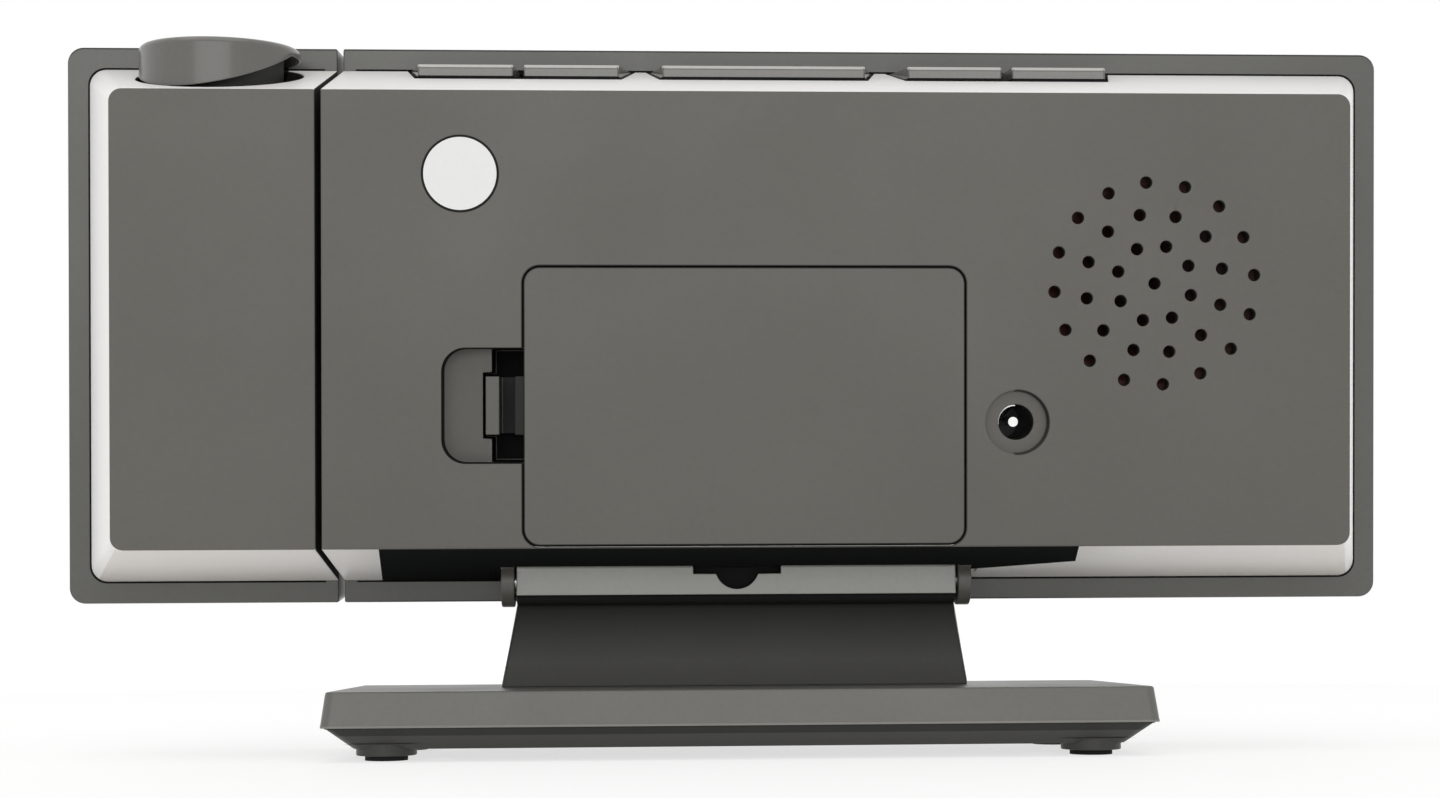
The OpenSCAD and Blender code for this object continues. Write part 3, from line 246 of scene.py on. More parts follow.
def paint_shade_upwards(mat, low_z, high_z, top_share):
    """Painted shade: the neck's colour darkened towards the top, where the case above shades it."""
    tree = mat.node_tree
    base = tree.nodes["Principled BSDF"].inputs["Base Color"]
    colour = base.links[0].from_socket
    coords = tree.nodes.new("ShaderNodeTexCoord")
    split = tree.nodes.new("ShaderNodeSeparateXYZ")
    tree.links.new(coords.outputs["Object"], split.inputs[0])
    fall = mapped(tree, split.outputs["Z"], (low_z, high_z), (1.0, top_share))
    tree.links.new(tint(tree, colour, fall.outputs["Result"]), base)


def metal(name, colour, rough):
    """Brushed or plated metal with an uneven tone and gloss."""
    mat, tree, bsdf = shader(name, colour, rough, metallic=1.0)
    coords = tree.nodes.new("ShaderNodeTexCoord")
    tone = spread_of(tree, noise(tree, coords, BRUSH_SCALE, 4.0), 0.88, 1.06)
    gloss = spread_of(tree, noise(tree, coords, BRUSH_SCALE * 3.0, 2.0), rough * 0.7, rough * 1.4)
    tree.links.new(tint(tree, colour, tone), bsdf.inputs["Base Color"])
    tree.links.new(gloss, bsdf.inputs["Roughness"])
    return mat


def glassy(name, colour, weight, ior):
    """Clear or smoked plastic with smooth faces."""
    mat, tree, bsdf = shader(name, colour, 0.0)
    bsdf.inputs["Transmission Weight"].default_value = weight
    bsdf.inputs["IOR"].default_value = ior
    coords = tree.nodes.new("ShaderNodeTexCoord")
    tone = spread_of(tree, noise(tree, coords, GLASS_SCALE, 2.0), 0.97, 1.0)
    tree.links.new(tint(tree, colour, tone), bsdf.inputs["Base Color"])
    return mat


PANEL = moulded("panel_plastic", (0.100, 0.096, 0.083), 0.42)
# Painted reflection: the bevels are the panel's dark glossy plastic; their near-white colour stands
# in for the white surroundings reflected at a grazing view.
BEVEL_PAINTED_REFLECTION = moulded("bevel_painted_reflection", (0.93, 0.91, 0.88), 0.42, spec=0.6, bump=0.0, coat=0.3,
                coat_rough=0.3, sheen=1.0, cloud=0.02, fine=0.01)
# Painted reflection: the beige-grey of the bottom bevel's ends stands in for the table that this
# dark glossy plastic reflects.
LOW_BEVEL_PAINTED_REFLECTION = moulded("bevel_low_painted_reflection", (0.64, 0.585, 0.515), 0.42, spec=0.9, bump=0.0,
                    coat=1.0, coat_rough=0.35, sheen=1.0)
# Painted reflection: the near-black middle of the bottom bevel stands in for the dark stand that it
# reflects.
BEVEL_PAINTED_DARK_REFLECTION = moulded("bevel_painted_dark_reflection", (0.016, 0.018, 0.017), 0.50, spec=0.0, bump=0.0)
# Painted shade: the panel's own plastic darkened on walls, inner faces, gaps and under edges, where
# shade falls.
PAINTED_SHADE_INSIDE = moulded("inside_painted_shade", (0.030, 0.030, 0.028), 0.55, spec=0.3)
# Painted shade: the latch arm, the door's own plastic, darkened down in its pit.
LATCH_ARM_PAINTED_SHADE = moulded("latch_arm_painted_shade", (0.016, 0.016, 0.015), 0.50, spec=0.2)
# Painted shade: near black for deep pits, notches, the lines along the key slots and the line where
# the frame meets the shell.
PIT_PAINTED_SHADE = moulded("pit_painted_shade", (0.006, 0.006, 0.006), 0.60, spec=0.1, bump=0.0)
FRAME = moulded("frame_plastic", (0.098, 0.097, 0.088), 0.30)
KEY = moulded("key_plastic", (0.120, 0.116, 0.105), 0.22, coat=0.6, coat_rough=0.08)
# Painted highlight: a light band on the keys' upper edges, the key's own plastic made lighter.
KEY_PAINTED_HIGHLIGHT = moulded("key_painted_highlight", (0.40, 0.39, 0.36), 0.25, coat=0.5)
KNOB = moulded("knob_plastic", (0.112, 0.108, 0.098), 0.30, bump=0.05, coat=0.3, coat_rough=0.12)
# The neck's own tone, with painted shade darkening it towards the case.
NECK_WITH_PAINTED_SHADE = moulded("neck_plastic_painted_shade", (0.125, 0.124, 0.118), 0.34, spec=0.4)
paint_shade_upwards(NECK_WITH_PAINTED_SHADE, 0.0125, 0.0195, 0.12)
# Painted light: the hinge barrel is the neck's own plastic, made lighter where it catches the
# light.
BLOCK_PAINTED_LIGHT = moulded("hinge_block_painted_light", (0.36, 0.358, 0.33), 0.34)
SHADE = moulded("base_cover_shade", (0.030, 0.030, 0.027), 0.5, spec=0.2)
# Painted highlight: a lighter band on the lower edges of the base's sides, the base's own plastic.
BASE_EDGE_PAINTED_HIGHLIGHT = moulded("base_edge_painted_highlight", (0.20, 0.195, 0.175), 0.36)
COVER = moulded("base_cover_plastic", (0.058, 0.057, 0.052), 0.45, spec=0.3)
BASE = moulded("base_plastic", (0.120, 0.118, 0.106), 0.36, cloud=0.06)
BLACK = moulded("black_plastic", (0.012, 0.012, 0.012), 0.35, spec=0.4)
RUBBER = moulded("rubber_black", (0.015, 0.015, 0.015), 0.75, spec=0.2, cloud=0.15, bump=0.3)
BRIGHT = metal("plated_steel", (0.86, 0.86, 0.84), 0.16)
STEEL = metal("zinc_steel", (0.60, 0.60, 0.58), 0.28)
SPRING = metal("spring_steel_bright", (0.72, 0.72, 0.70), 0.22)
LABEL = moulded("paper_label", (0.86, 0.86, 0.84), 0.55, spec=0.3, cloud=0.015, fine=0.01,
                bump=0.1)
# Painted shadow: a thin dark ring round the sticker's cut edge.
LABEL_PAINTED_SHADOW = moulded("sticker_painted_shadow", (0.016, 0.016, 0.015), 0.6, spec=0.1, bump=0.0)
CONE = moulded("speaker_paper", (0.13, 0.050, 0.036), 0.55, cloud=0.2, fine=0.15)
SEGMENT = moulded("segment_plastic", (0.62, 0.62, 0.58), 0.45, cloud=0.02)
BOARD = moulded("board_laminate", (0.035, 0.16, 0.075), 0.35, cloud=0.12, coat=0.3)
GLASS = glassy("clear_plastic", (0.96, 0.97, 0.98), 1.0, 1.49)
SMOKE = glassy("smoke_window", (0.26, 0.26, 0.28), 0.94, 1.30)
SLIDE = moulded("slide_glass", (0.03, 0.035, 0.045), 0.05, spec=0.6, bump=0.0)

FINISH = {
    "case_plastic": PANEL,
    "knob_plastic": KNOB,
    "dark_plastic": COVER,
    "black_plastic": BLACK,
    "window_plastic": SMOKE,
    "segment_plastic": SEGMENT,
    "board_laminate": BOARD,
    "steel": STEEL,
    "spring_steel": SPRING,
    "rubber": RUBBER,
    "paper_label": LABEL,
    "speaker_paper": CONE,
    "clear_plastic": GLASS,
    "slide_glass": SLIDE,
}
for node_name, node in NODES.items():
    node.data.materials.clear()
    node.data.materials.append(FINISH[SLOT_OF[node_name]])
NODES["inlet_pin"].data.materials[0] = BRIGHT

# ---------------------------------------------------------------- pieces
MERGE = 2e-6
CUT_SNAP = 1e-6
FLAT_ANGLE = math.radians(0.5)


def piece_from(mesh, name, body, materials, replaces=()):
    obj = add_object(name, mesh)
    for mat in materials:
        mesh.materials.append(mat)
    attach(obj, body)
    if replaces:
        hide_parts(*replaces)
    return obj


def apply(obj, modifier):
    """Writes a modifier's result into the mesh."""
    graph = bpy.context.evaluated_depsgraph_get()
    done = bpy.data.meshes.new_from_object(
        obj.evaluated_get(graph), preserve_all_data_layers=True, depsgraph=graph)
    obj.modifiers.remove(modifier)
    obj.data = done


def settle(obj, angle=32.0):
    """Smooth shading that keeps the flat faces flat, written into the mesh."""
    mesh = obj.data
    mesh.polygons.foreach_set("use_smooth", [True] * len(mesh.polygons))
    mesh.set_sharp_from_angle(angle=math.radians(angle))
    even = obj.modifiers.new("even", "WEIGHTED_NORMAL")
    even.keep_sharp = True
    apply(obj, even)


def round_edges(work, angle, width, segments, clamp):
    """Joins the flat faces of a mesh and rounds its edges that are sharper than an angle."""
    bmesh.ops.dissolve_limit(work, angle_limit=FLAT_ANGLE, verts=work.verts, edges=work.edges)
    sharp = [e for e in work.edges
             if e.is_manifold and e.calc_face_angle(0.0) > math.radians(angle)]
    bmesh.ops.bevel(work, geom=sharp, offset=width * MM, offset_type="OFFSET", segments=segments,
                    profile=0.5, affect="EDGES", clamp_overlap=clamp)


def soften(node_name, body, materials, pick, width=0.15, segments=2, carve=None):
    """A copy of a CAD node with its sharp edges rounded.

    carve(work) may cut its faces, and pick(normal, place) gives each face its material.
    """
    work = bmesh.new()
    work.from_mesh(NODES[node_name].data)
    bmesh.ops.remove_doubles(work, verts=work.verts, dist=MERGE)
    round_edges(work, 28.0, width, segments, False)
    work.normal_update()
    if carve:
        carve(work)
        work.normal_update()
    for face in work.faces:
        face.material_index = pick(face.normal, in_case(face.calc_center_median()))
    mesh = bpy.data.meshes.new(node_name + "_soft")
    work.to_mesh(mesh)
    work.free()
    settle(piece_from(mesh, node_name + "_soft", body, materials,
                      (node_name,)))


def cut_through(work, point, normal, faces=None):
    """Cuts the faces of a mesh, or those that are given, along a plane."""
    if faces is None:
        parts = list(work.verts) + list(work.edges) + list(work.faces)
    else:
        parts = list(dict.fromkeys(p for f in faces for p in (*f.verts, *f.edges))) + faces
    bmesh.ops.bisect_plane(work, geom=parts, plane_co=point, plane_no=normal, dist=CUT_SNAP)


# How much of a face's normal points a way: it faces it, it is flat to it, it hardly leaves it,
# it turns towards it, and the bottom bevel looks down
FACES = 0.93
FLAT = 0.95
SQUARE = 0.97
TURNS = 0.12
STEEP = 0.8
TONGUE_FACES = 0.9
TONGUE_BACK = -0.5
EDGE_TURNS = 0.2
KEY_TURNS = 0.25
KNOB_TURNS = 0.3

# Millimetres by which a face's middle may miss the surface that it belongs to
BEVEL_SKIN = 0.35
BORDER_SKIN = 0.2
PANEL_SKIN = 0.05
PANEL_DEPTH = 4.0
SCOOP_LIP = 0.25
LATCH_PLAY = 0.3
LATCH_INTO_DOOR = 1.0
RECESS_SKIN = 0.3
RECESS_LIT_X = 0.5
FRAME_EDGE = 0.6
KEY_HIGHLIGHT_H = 0.4
KNOB_SKIN = 0.6
NOTCH_DEPTH = 1.0


def in_band(place):
    """Whether a place on the bottom bevel lies in its middle, which takes a painted dark reflection
    of the stand.
    """
    right = BAND_RIGHT_X + BAND_RIGHT_LEAN * place.y
    left = BAND_LEFT_X - BAND_LEFT_LEAN * place.y
    if not right < place.x < left:
        return False
    return place.x > BAND_TURN_X or place.y > BAND_LOW_Q + (BAND_TURN_X - place.x) * BAND_FALL


def cut_band(work):
    """Cuts the bottom bevel along the ends of its middle, which takes a painted dark reflection of
    the stand.
    """
    for spot, normal, low_x, high_x in (
            ((BAND_RIGHT_X, 0.0, 0.0), (1.0, -BAND_RIGHT_LEAN, 0.0), -HALF_W, HALF_W),
            ((BAND_LEFT_X, 0.0, 0.0), (1.0, BAND_LEFT_LEAN, 0.0), -HALF_W, HALF_W),
            ((BAND_TURN_X, 0.0, 0.0), (1.0, 0.0, 0.0), -HALF_W, HALF_W),
            ((BAND_TURN_X, BAND_LOW_Q, 0.0), (BAND_FALL, 1.0, 0.0), BAND_RIGHT_X, BAND_TURN_X)):
        faces = []
        for face in work.faces:
            place = in_case(face.calc_center_median())
            under = face.normal.dot(UP) < -STEEP and face.normal.dot(BACK) > TURNS
            if under and place.z < BEVEL_LOW_W and low_x < place.x < high_x:
                faces.append(face)
        across = (CASE.to_3x3() @ Vector(normal)).normalized()
        cut_through(work, at(*spot), across, faces)


def on_bevel(place):
    """Whether a place lies on the outside of the tapered rear shell."""
    drawn = place.y / REAR_T
    gaps = (
        HALF_W - abs(place.x) - BORDER - BEVEL_SIDE * drawn,
        HALF_H - place.z - BORDER - BEVEL_TOP * drawn,
        HALF_H + place.z - BORDER - BEVEL_BOTTOM * drawn,
    )
    corner = gaps[0] < CORNER and min(gaps[1:]) < CORNER
    return place.y > -BORDER_SKIN and (corner or min(gaps) < BEVEL_SKIN)


def in_latch(place):
    """Whether a place lies in the finger scoop or in the pit for the latch."""
    return (LATCH_X[0] - LATCH_INTO_DOOR < place.x < LATCH_X[1] + LATCH_PLAY
            and LATCH_W[0] - LATCH_PLAY < place.z < LATCH_W[1] + LATCH_PLAY)


def shell_zone(normal, place):
    """0 rear panel, 1 bevels with painted reflection, 2 walls and inner faces with painted shade, 3
    deep pits with painted black shade, 4 the bottom bevel's middle with a painted dark reflection
    of the stand, 5 the rest of the bottom bevel with painted light reflection.
    """
    facing = normal.dot(BACK)
    if any(low < place.x < high for low, high in EARS) and place.z < EAR_TOP_W:
        return 0
    # The stand's tongue: its back face in painted shade, its other faces in painted black shade.
    on_tongue = abs(place.x - STAND_X) < TONGUE_HALF_W and place.z < TONGUE_TOP_W
    if on_tongue and place.y > TONGUE_Q and facing > TONGUE_BACK:
        return 2 if facing > TONGUE_FACES else 3
    # Back faces deeper than the panel: painted black shade in the pits.
    if facing > FACES:
        return 0 if place.y > REAR_T - PANEL_DEPTH else 3
    # Tapered bevels: painted reflection, near-white on the sides and top; the bottom gets a painted
    # dark reflection of the stand in its middle and a painted light one at its ends.
    if facing > TURNS and place.y < REAR_T - PANEL_SKIN and on_bevel(place):
        if normal.dot(UP) < -STEEP:
            return 4 if in_band(place) else 5
        return 1
    # Finger scoop: its floor as panel, its walls and the latch pit in painted black shade.
    if in_latch(place) and place.y > LATCH_Q:
        return 0 if facing > TURNS and place.y < REAR_T - SCOOP_LIP else 3
    if facing > TURNS:
        reach = math.hypot(place.x - JACK[0], place.z - JACK[1])
        # Power inlet recess: painted shade on the wall's side towards -x; its lit side stays panel.
        if abs(reach - JACK_RECESS_R) < RECESS_SKIN:
            return 2 if place.x < JACK[0] + RECESS_LIT_X else 0
        # A painted shade line round the battery door's opening.
        door_edge = (DOOR_EDGE_X[0] < place.x < DOOR_EDGE_X[1]
                     and DOOR_EDGE_W[0] < place.z < DOOR_EDGE_W[1])
        return 2 if door_edge else 0
    # Remaining walls and inner faces: painted shade.
    return 2


def door_zone(normal, place):
    """0 the door's faces, 1 its edges, in painted shade, 2 the arm of the latch down in its pit, in
    painted shade.
    """
    if ARM_X[0] < place.x < ARM_X[1]:
        return 2
    return 1 if place.x < DOOR_PLATE_X and normal.dot(BACK) < FACES else 0


def frame_zone(normal, place):
    """0 the frame, 1 the edge of its opening, against the rear shell, in painted black shade, 2 its
    upper rear edge, in painted shade.
    """
    middle = (SEAM_X + HALF_W) / 2 if place.x > SEAM_X else (SEAM_X - HALF_W) / 2
    inwards = normal.dot(RIGHT) * (middle - place.x) - normal.dot(UP) * place.z
    if place.y > -FRAME_EDGE and inwards > 0.0 and normal.dot(BACK) < SQUARE:
        return 1
    return 2 if EDGE_TURNS < normal.dot(UP) < FLAT and normal.dot(BACK) > EDGE_TURNS else 0


def cut_key(work):
    """Cuts a key along the line where it comes out of its slot."""
    cut_through(work, at(0.0, 0.0, KEY_SHADE_W), UP)


def key_zone(normal, place):
    """0 the key, 1 its upper edge with a painted highlight, 2 the line along its slot in painted
    shade.
    """
    if place.z < KEY_SHADE_W:
        return 2
    return 1 if place.z > KEY_TOP_W - KEY_HIGHLIGHT_H and KEY_TURNS < normal.dot(BACK) < SQUARE else 0


def knob_zone(normal, place):
    """0 the drum and its top, 1 the faces under its oblique edge and in its bore, in painted shade.
    """
    outside = math.hypot(place.x - KNOB_X, place.y - KNOB_Q) > KNOB_R - KNOB_SKIN
    return 0 if outside or normal.dot(UP) > KNOB_TURNS and place.z > KNOB_BORE_W else 1


def neck_zone(normal, place):
    """0 the blade, 1 the hinge barrel with its flat face, lightened as painted light, 2 the notch
    in it, in painted shade.
    """
    above = place.z - HINGE_W
    beyond = place.y - HINGE_Q
    over = above * math.cos(LEAN) - beyond * math.sin(LEAN)
    behind = above * math.sin(LEAN) + beyond * math.cos(LEAN)
    in_notch = abs(place.x - STAND_X) < NOTCH_HALF_W and over > -BARREL_R
    if in_notch and -NOTCH_DEPTH < behind < BARREL_R:
        return 2
    return 1 if behind > BARREL_FLAT and over > BARREL_LOW else 0


def height_of(place):
    """Height over the table, in millimetres."""
    return (CASE @ (place * MM)).z / MM


def base_zone(normal, place):
    """0 the base, 1 the lower edge of its sides, with a painted highlight."""
    return 1 if height_of(place) < BASE_HIGHLIGHT_Z and abs(normal.z) < FLAT else 0


def cover_zone(normal, place):
    """0 the cover, 1 the shaded upper half of its chamfer."""
    return 1 if height_of(place) > COVER_SPLIT_Z and abs(normal.z) < FLAT else 0


def cut_cover(work):
    """Cuts the cover's chamfer half way up."""
    cut_through(work, Vector((0.0, 0.0, COVER_SPLIT_Z * MM)), -DOWN)


# Rear shell: panel, painted reflections on the bevels, painted shade on walls and in pits.
SHELL = [PANEL, BEVEL_PAINTED_REFLECTION, PAINTED_SHADE_INSIDE, PIT_PAINTED_SHADE, BEVEL_PAINTED_DARK_REFLECTION, LOW_BEVEL_PAINTED_REFLECTION]
soften("rear_housing", "clock_case", SHELL, shell_zone, width=0.16, carve=cut_band)
soften("projector_housing", "projector", SHELL, shell_zone, width=0.16)
soften("front_frame", "clock_case", [FRAME, PIT_PAINTED_SHADE, PAINTED_SHADE_INSIDE], frame_zone, width=0.25)
soften("projector_frame", "projector", [FRAME, PIT_PAINTED_SHADE, PAINTED_SHADE_INSIDE], frame_zone, width=0.25)
soften("battery_door", "battery_door", [PANEL, PAINTED_SHADE_INSIDE, LATCH_ARM_PAINTED_SHADE], door_zone, width=0.14)
soften("focus_knob", "focus", [KNOB, PAINTED_SHADE_INSIDE], knob_zone, width=0.2)
soften("stand_neck", "stand", [NECK_WITH_PAINTED_SHADE, BLOCK_PAINTED_LIGHT, PIT_PAINTED_SHADE], neck_zone, width=0.16)
soften("stand_base", "stand", [BASE, BASE_EDGE_PAINTED_HIGHLIGHT], base_zone, width=0.3, segments=3)
soften("base_bottom_cover", "stand", [COVER, SHADE], cover_zone, width=0.15, carve=cut_cover)
for key_name in ("mode_button", "alarm_button", "snooze_button", "up_button", "down_button"):
    soften(key_name, key_name, [KEY, KEY_PAINTED_HIGHLIGHT, PIT_PAINTED_SHADE], key_zone, width=0.24, carve=cut_key)


# ---------------------------------------------------------------- sticker, springs, contact, screws
def ring_of(work, centre, u, v, radius, steps):
    turn = 2.0 * math.pi / steps
    return [work.verts.new(centre + (u * math.cos(i * turn) + v * math.sin(i * turn)) * radius)
            for i in range(steps)]


def bridge(work, one, two, material=0):
    """Joins two loops of as many vertices with quads."""
    count = len(one)
    for i in range(count):
        face = work.faces.new((one[i], one[(i + 1) % count], two[(i + 1) % count], two[i]))
        face.material_index = material


def finish_piece(work, name, materials, replaces=()):
    """Makes a piece of the clock case from a mesh."""
    bmesh.ops.recalc_face_normals(work, faces=work.faces)
    mesh = bpy.data.meshes.new(name)
    work.to_mesh(mesh)
    work.free()
    settle(piece_from(mesh, name, "clock_case", materials, replaces))


# Round sticker: a plain disc with a painted shadow round its cut edge, as a thin dark ring
STICKER = (36.25, 19.3)
STICKER_R = 4.8
STICKER_T = 0.15
STICKER_SIDES = 96
STICKER_SHADE_R = 5.08
STICKER_PROFILE = (
    (STICKER_SHADE_R, 0.0),
    (STICKER_SHADE_R, 0.02),
    (STICKER_R, 0.03),
    (STICKER_R - 0.04, STICKER_T - 0.02),
    (STICKER_R - 0.09, STICKER_T),
    (STICKER_R * 0.5, STICKER_T),
)
SHADOW_BANDS = 3
work = bmesh.new()
rings = [ring_of(work, at(STICKER[0], REAR_T + lift, STICKER[1]), RIGHT, UP, radius * MM,
                 STICKER_SIDES)
         for radius, lift in STICKER_PROFILE]
for i in range(len(rings) - 1):
    bridge(work, rings[i], rings[i + 1], 1 if i < SHADOW_BANDS else 0)
work.faces.new(rings[-1])
work.faces.new(list(reversed(rings[0])))
finish_piece(work, "sticker_disc", [LABEL, LABEL_PAINTED_SHADOW], ("inspection_sticker",))

# Conical battery springs, wound from wire
SPRING_X = -27.4
SPRING_Q = 11.4
SPRING_MID_W = -11.25
CELL_PITCH = 11.1
WIRE_R = 0.45
WIRE_SIDES = 10
COIL_R = (3.15, 1.45)
COIL_X = (0.45, 3.95)
COIL_TURNS = 4
COIL_STEPS = COIL_TURNS * 30
work = bmesh.new()
for row in (-1, 0, 1):
    last = None
    for step in range(COIL_STEPS + 1):
        share = step / COIL_STEPS
        angle = 2.0 * math.pi * COIL_TURNS * share
        radius = COIL_R[0] + (COIL_R[1] - COIL_R[0]) * share
        outward = BACK * math.cos(angle) + UP * math.sin(angle)
        middle = at(SPRING_X + COIL_X[0] + (COIL_X[1] - COIL_X[0]) * share, SPRING_Q,
                    SPRING_MID_W + row * CELL_PITCH) + outward * radius * MM
        ring = ring_of(work, middle, outward, RIGHT, WIRE_R * MM, WIRE_SIDES)
        if last:
            bridge(work, last, ring)
        else:
            work.faces.new(ring)
        last = ring
    work.faces.new(last)
finish_piece(work, "battery_springs_wound", [SPRING], ("battery_springs",))

# Leaf contact that bows inwards in the power inlet's bore
BORE_R = 2.28
LEAF_T = 0.14
LEAF_BOW = 0.85
LEAF_Q = (14.6, 18.4)
LEAF_ANGLES = (math.radians(-8.0), math.radians(92.0))
LEAF_ROWS = 12
LEAF_STEPS = 16
work = bmesh.new()
rows = []
for k in range(LEAF_ROWS + 1):
    along = k / LEAF_ROWS
    line = []
    for m in range(LEAF_STEPS + 1):
        angle = LEAF_ANGLES[0] + (LEAF_ANGLES[1] - LEAF_ANGLES[0]) * m / LEAF_STEPS
        across = (m + 2) / (LEAF_STEPS + 4)
        bow = LEAF_BOW * math.sin(math.pi * along) * math.sin(math.pi * across)
        spot = []
        for skin in (0.0, LEAF_T):
            radius = BORE_R - bow - skin
            spot.append(work.verts.new(at(
                JACK[0] + radius * math.cos(angle),
                LEAF_Q[0] + (LEAF_Q[1] - LEAF_Q[0]) * along,
                JACK[1] + radius * math.sin(angle))))
        line.append(spot)
    rows.append(line)
for k in range(LEAF_ROWS):
    for m in range(LEAF_STEPS):
        near, far = rows[k], rows[k + 1]
        for skin in (0, 1):
            work.faces.new((near[m][skin], near[m + 1][skin], far[m + 1][skin], far[m][skin]))
for k in range(LEAF_ROWS):
    for m in (0, LEAF_STEPS):
        work.faces.new((rows[k][m][0], rows[k + 1][m][0], rows[k + 1][m][1], rows[k][m][1]))
for m in range(LEAF_STEPS):
    for k in (0, LEAF_ROWS):
        work.faces.new((rows[k][m][0], rows[k][m + 1][0], rows[k][m + 1][1], rows[k][m][1]))
finish_piece(work, "inlet_contact", [BRIGHT])

# Cross recess of a screw: an outline in halves of the blade's width and of its reach, how deep it
# goes, how wide the blade is, and how far the tool stands out
CROSS = ((1, 3), (1, 1), (3, 1), (3, -1), (1, -1), (1, -3),
         (-1, -3), (-1, -1), (-3, -1), (-3, 1), (-1, 1), (-1, 3))
CROSS_DEPTH = 0.55
CROSS_BLADE = 0.42
CROSS_PROUD = 0.4
CROSS_TIP = 0.55
HEAD_EDGE = 0.12


def islands(work):
    """The loose solids of a mesh, each as a list of its vertices, in the same order each run."""
    met = set()
    found = []
    for start in work.verts:
        if start in met:
            continue
        met.add(start)
        heap = [start]
        part = []
        while heap:
            vert = heap.pop()
            part.append(vert)
            for edge in vert.link_edges:
                other = edge.other_vert(vert)
                if other not in met:
                    met.add(other)
                    heap.append(other)
        found.append(part)
    return found


def cross_tool(name, tops, outward, reach):
    """The solids that cut a cross into each screw's head."""
    u = outward.orthogonal().normalized()
    v = outward.cross(u)
    half = CROSS_BLADE / 2
    tool = bmesh.new()
    for top in tops:
        loops = []
        for lift, shrink in ((CROSS_PROUD, 1.0), (0.0, 1.0), (-CROSS_DEPTH, CROSS_TIP)):
            loop = []
            for a, b in CROSS:
                x = math.copysign(half if abs(a) == 1 else reach * shrink, a)
                y = math.copysign(half if abs(b) == 1 else reach * shrink, b)
                loop.append(tool.verts.new(top + (u * x + v * y + outward * lift) * MM))
            loops.append(loop)
        bridge(tool, loops[0], loops[1])
        bridge(tool, loops[1], loops[2])
        tool.faces.new(loops[0])
        tool.faces.new(list(reversed(loops[2])))
    bmesh.ops.recalc_face_normals(tool, faces=tool.faces)
    mesh = bpy.data.meshes.new(name)
    tool.to_mesh(mesh)
    tool.free()
    return add_object(name, mesh)


def cross_recess(node_name, body, outward, reach):
    """Screws with rounded heads and a cross recess, in place of a CAD node's plain heads."""
    source = bmesh.new()
    source.from_mesh(NODES[node_name].data)
    bmesh.ops.remove_doubles(source, verts=source.verts, dist=MERGE)
    tops = []
    for part in islands(source):
        high = max(v.co.dot(outward) for v in part)
        head = [v.co for v in part if v.co.dot(outward) > high - 1e-5]
        tops.append(sum(head, Vector()) / len(head))
    round_edges(source, 40.0, HEAD_EDGE, 2, True)
    mesh = bpy.data.meshes.new(node_name + "_cross")
    source.to_mesh(mesh)
    source.free()
    cutter = cross_tool(node_name + "_tool", tops, outward, reach)
    obj = piece_from(mesh, node_name + "_cross", body, [STEEL], (node_name,))
    cut = obj.modifiers.new("cut", "BOOLEAN")
    cut.operation = "DIFFERENCE"
    cut.solver = "EXACT"
    cut.object = cutter
    apply(obj, cut)
    bpy.data.objects.remove(cutter)
    settle(obj)


cross_recess("base_screws", "stand", DOWN, 1.1)
cross_recess("neck_screws", "stand", DOWN, 1.1)
cross_recess("board_screws", "clock_case", -BACK, 1.1)
cross_recess("key_board_screws", "clock_case", -UP, 1.1)
cross_recess("optics_screws", "projector", -BACK, 0.8)

# ---------------------------------------------------------------- studio: floor, world and lamps
# Strength of the air as light, of the floor as it is seen, and how much of the floor's look is
# its own glow and not the light that falls on it: near the object, and from here to there all
WHITE = (1.0, 1.0, 1.0, 1.0)
AIR = 0.66
FLOOR_WHITE = 1.14
FLOOR_SHARE = 0.6
FLOOR_FADE = (0.16, 0.55)
FLOOR_HALF = 4.0
LAMP_AIM = (0.0, 0.0, 0.04)


def seen_rays(tree):
    """1 for a ray that shows a surface, straight, mirrored or through glass, 0 for other light."""
    path = tree.nodes.new("ShaderNodeLightPath")
    seen = path.outputs["Is Camera Ray"]
    for output in ("Is Glossy Ray", "Is Transmission Ray"):
        seen = combine(tree, "MAXIMUM", seen, path.outputs[output])
    return seen


world = bpy.data.worlds.new("studio")
bpy.context.scene.world = world
world.use_nodes = True
sky = world.node_tree
air = sky.nodes["Background"]
air.inputs["Color"].default_value = WHITE
level = mapped(sky, seen_rays(sky), (0.0, 1.0), (AIR, 1.0))
sky.links.new(level.outputs["Result"], air.inputs["Strength"])


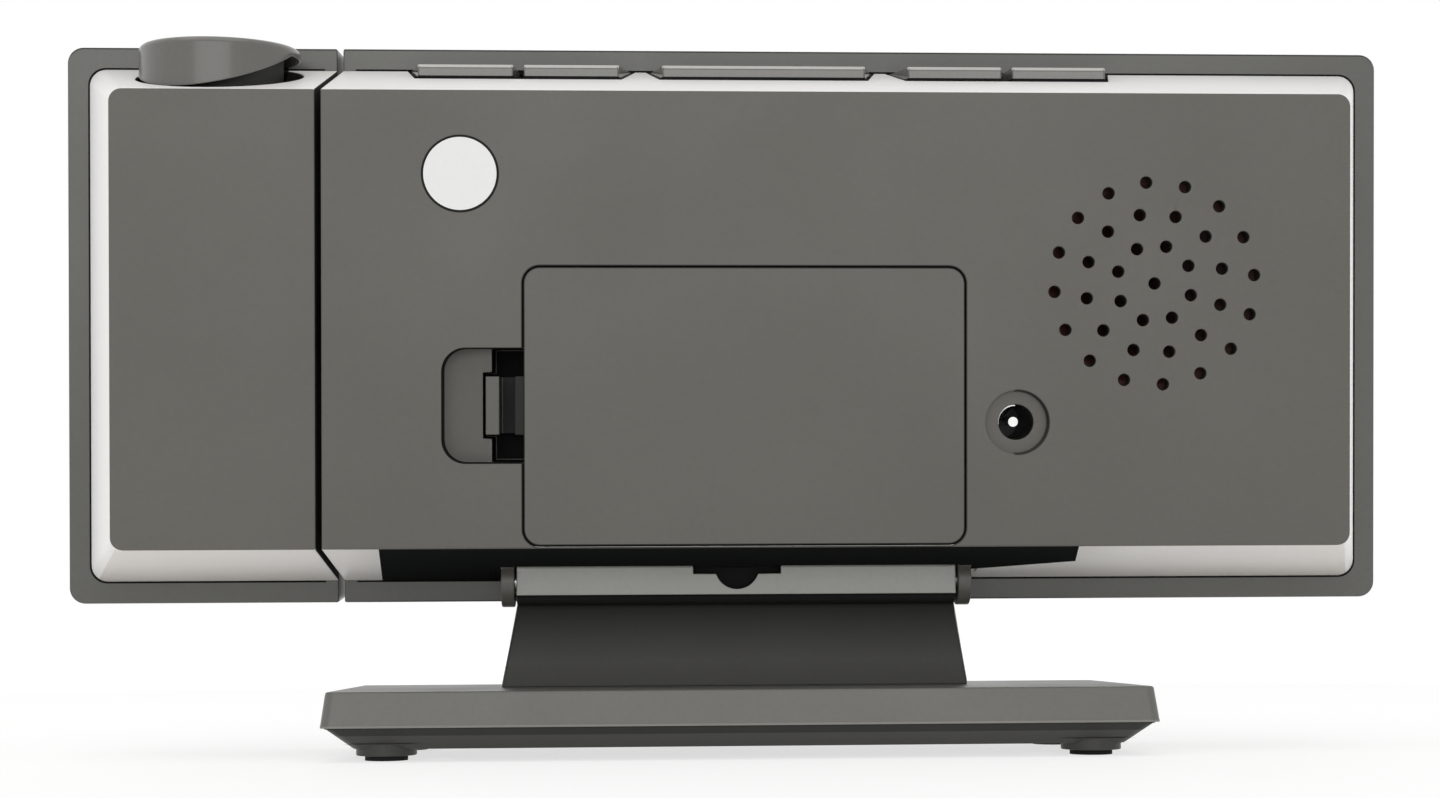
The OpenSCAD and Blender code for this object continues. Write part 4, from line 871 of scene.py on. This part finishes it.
def card(name, size, centre, power):
    lamp_data = bpy.data.lights.new(name, "AREA")
    lamp_data.shape = "RECTANGLE"
    lamp_data.size, lamp_data.size_y = size
    lamp_data.energy = power
    lamp = add_object(name, lamp_data)
    lamp.location = centre
    lamp.rotation_euler = (Vector(LAMP_AIM) - Vector(centre)).to_track_quat("-Z", "Y").to_euler()


card("lamp_top", (0.9, 0.6), (0.1, 0.30, 0.75), 1.7)
card("lamp_behind", (0.8, 0.4), (0.05, 0.9, 0.14), 1.6)

floor_mesh = bpy.data.meshes.new("floor")
grid = bmesh.new()
bmesh.ops.create_grid(grid, x_segments=1, y_segments=1, size=FLOOR_HALF)
grid.to_mesh(floor_mesh)
grid.free()
floor = add_object("floor", floor_mesh)
floor_mat, floor_tree, floor_bsdf = shader("floor_white", (0.92, 0.92, 0.915), 0.6, spec=0.2)
floor_coords = floor_tree.nodes.new("ShaderNodeTexCoord")
reach = floor_tree.nodes.new("ShaderNodeVectorMath")
reach.operation = "LENGTH"
floor_tree.links.new(floor_coords.outputs["Object"], reach.inputs[0])
far = mapped(floor_tree, reach.outputs["Value"], FLOOR_FADE, (0.0, 1.0))
far.interpolation_type = "SMOOTHSTEP"
seen = seen_rays(floor_tree)
share = combine(floor_tree, "MULTIPLY", seen, FLOOR_SHARE)
strength = mapped(floor_tree, seen, (0.0, 1.0), (AIR, FLOOR_WHITE))
glow = floor_tree.nodes.new("ShaderNodeEmission")
glow.inputs["Color"].default_value = WHITE
floor_tree.links.new(strength.outputs["Result"], glow.inputs["Strength"])
blend = floor_tree.nodes.new("ShaderNodeMixShader")
own_glow = combine(floor_tree, "MAXIMUM", far.outputs["Result"], share)
floor_tree.links.new(own_glow, blend.inputs["Fac"])
floor_tree.links.new(floor_bsdf.outputs["BSDF"], blend.inputs[1])
floor_tree.links.new(glow.outputs["Emission"], blend.inputs[2])
floor_tree.links.new(blend.outputs["Shader"],
                     floor_tree.nodes["Material Output"].inputs["Surface"])
floor_mesh.materials.append(floor_mat)
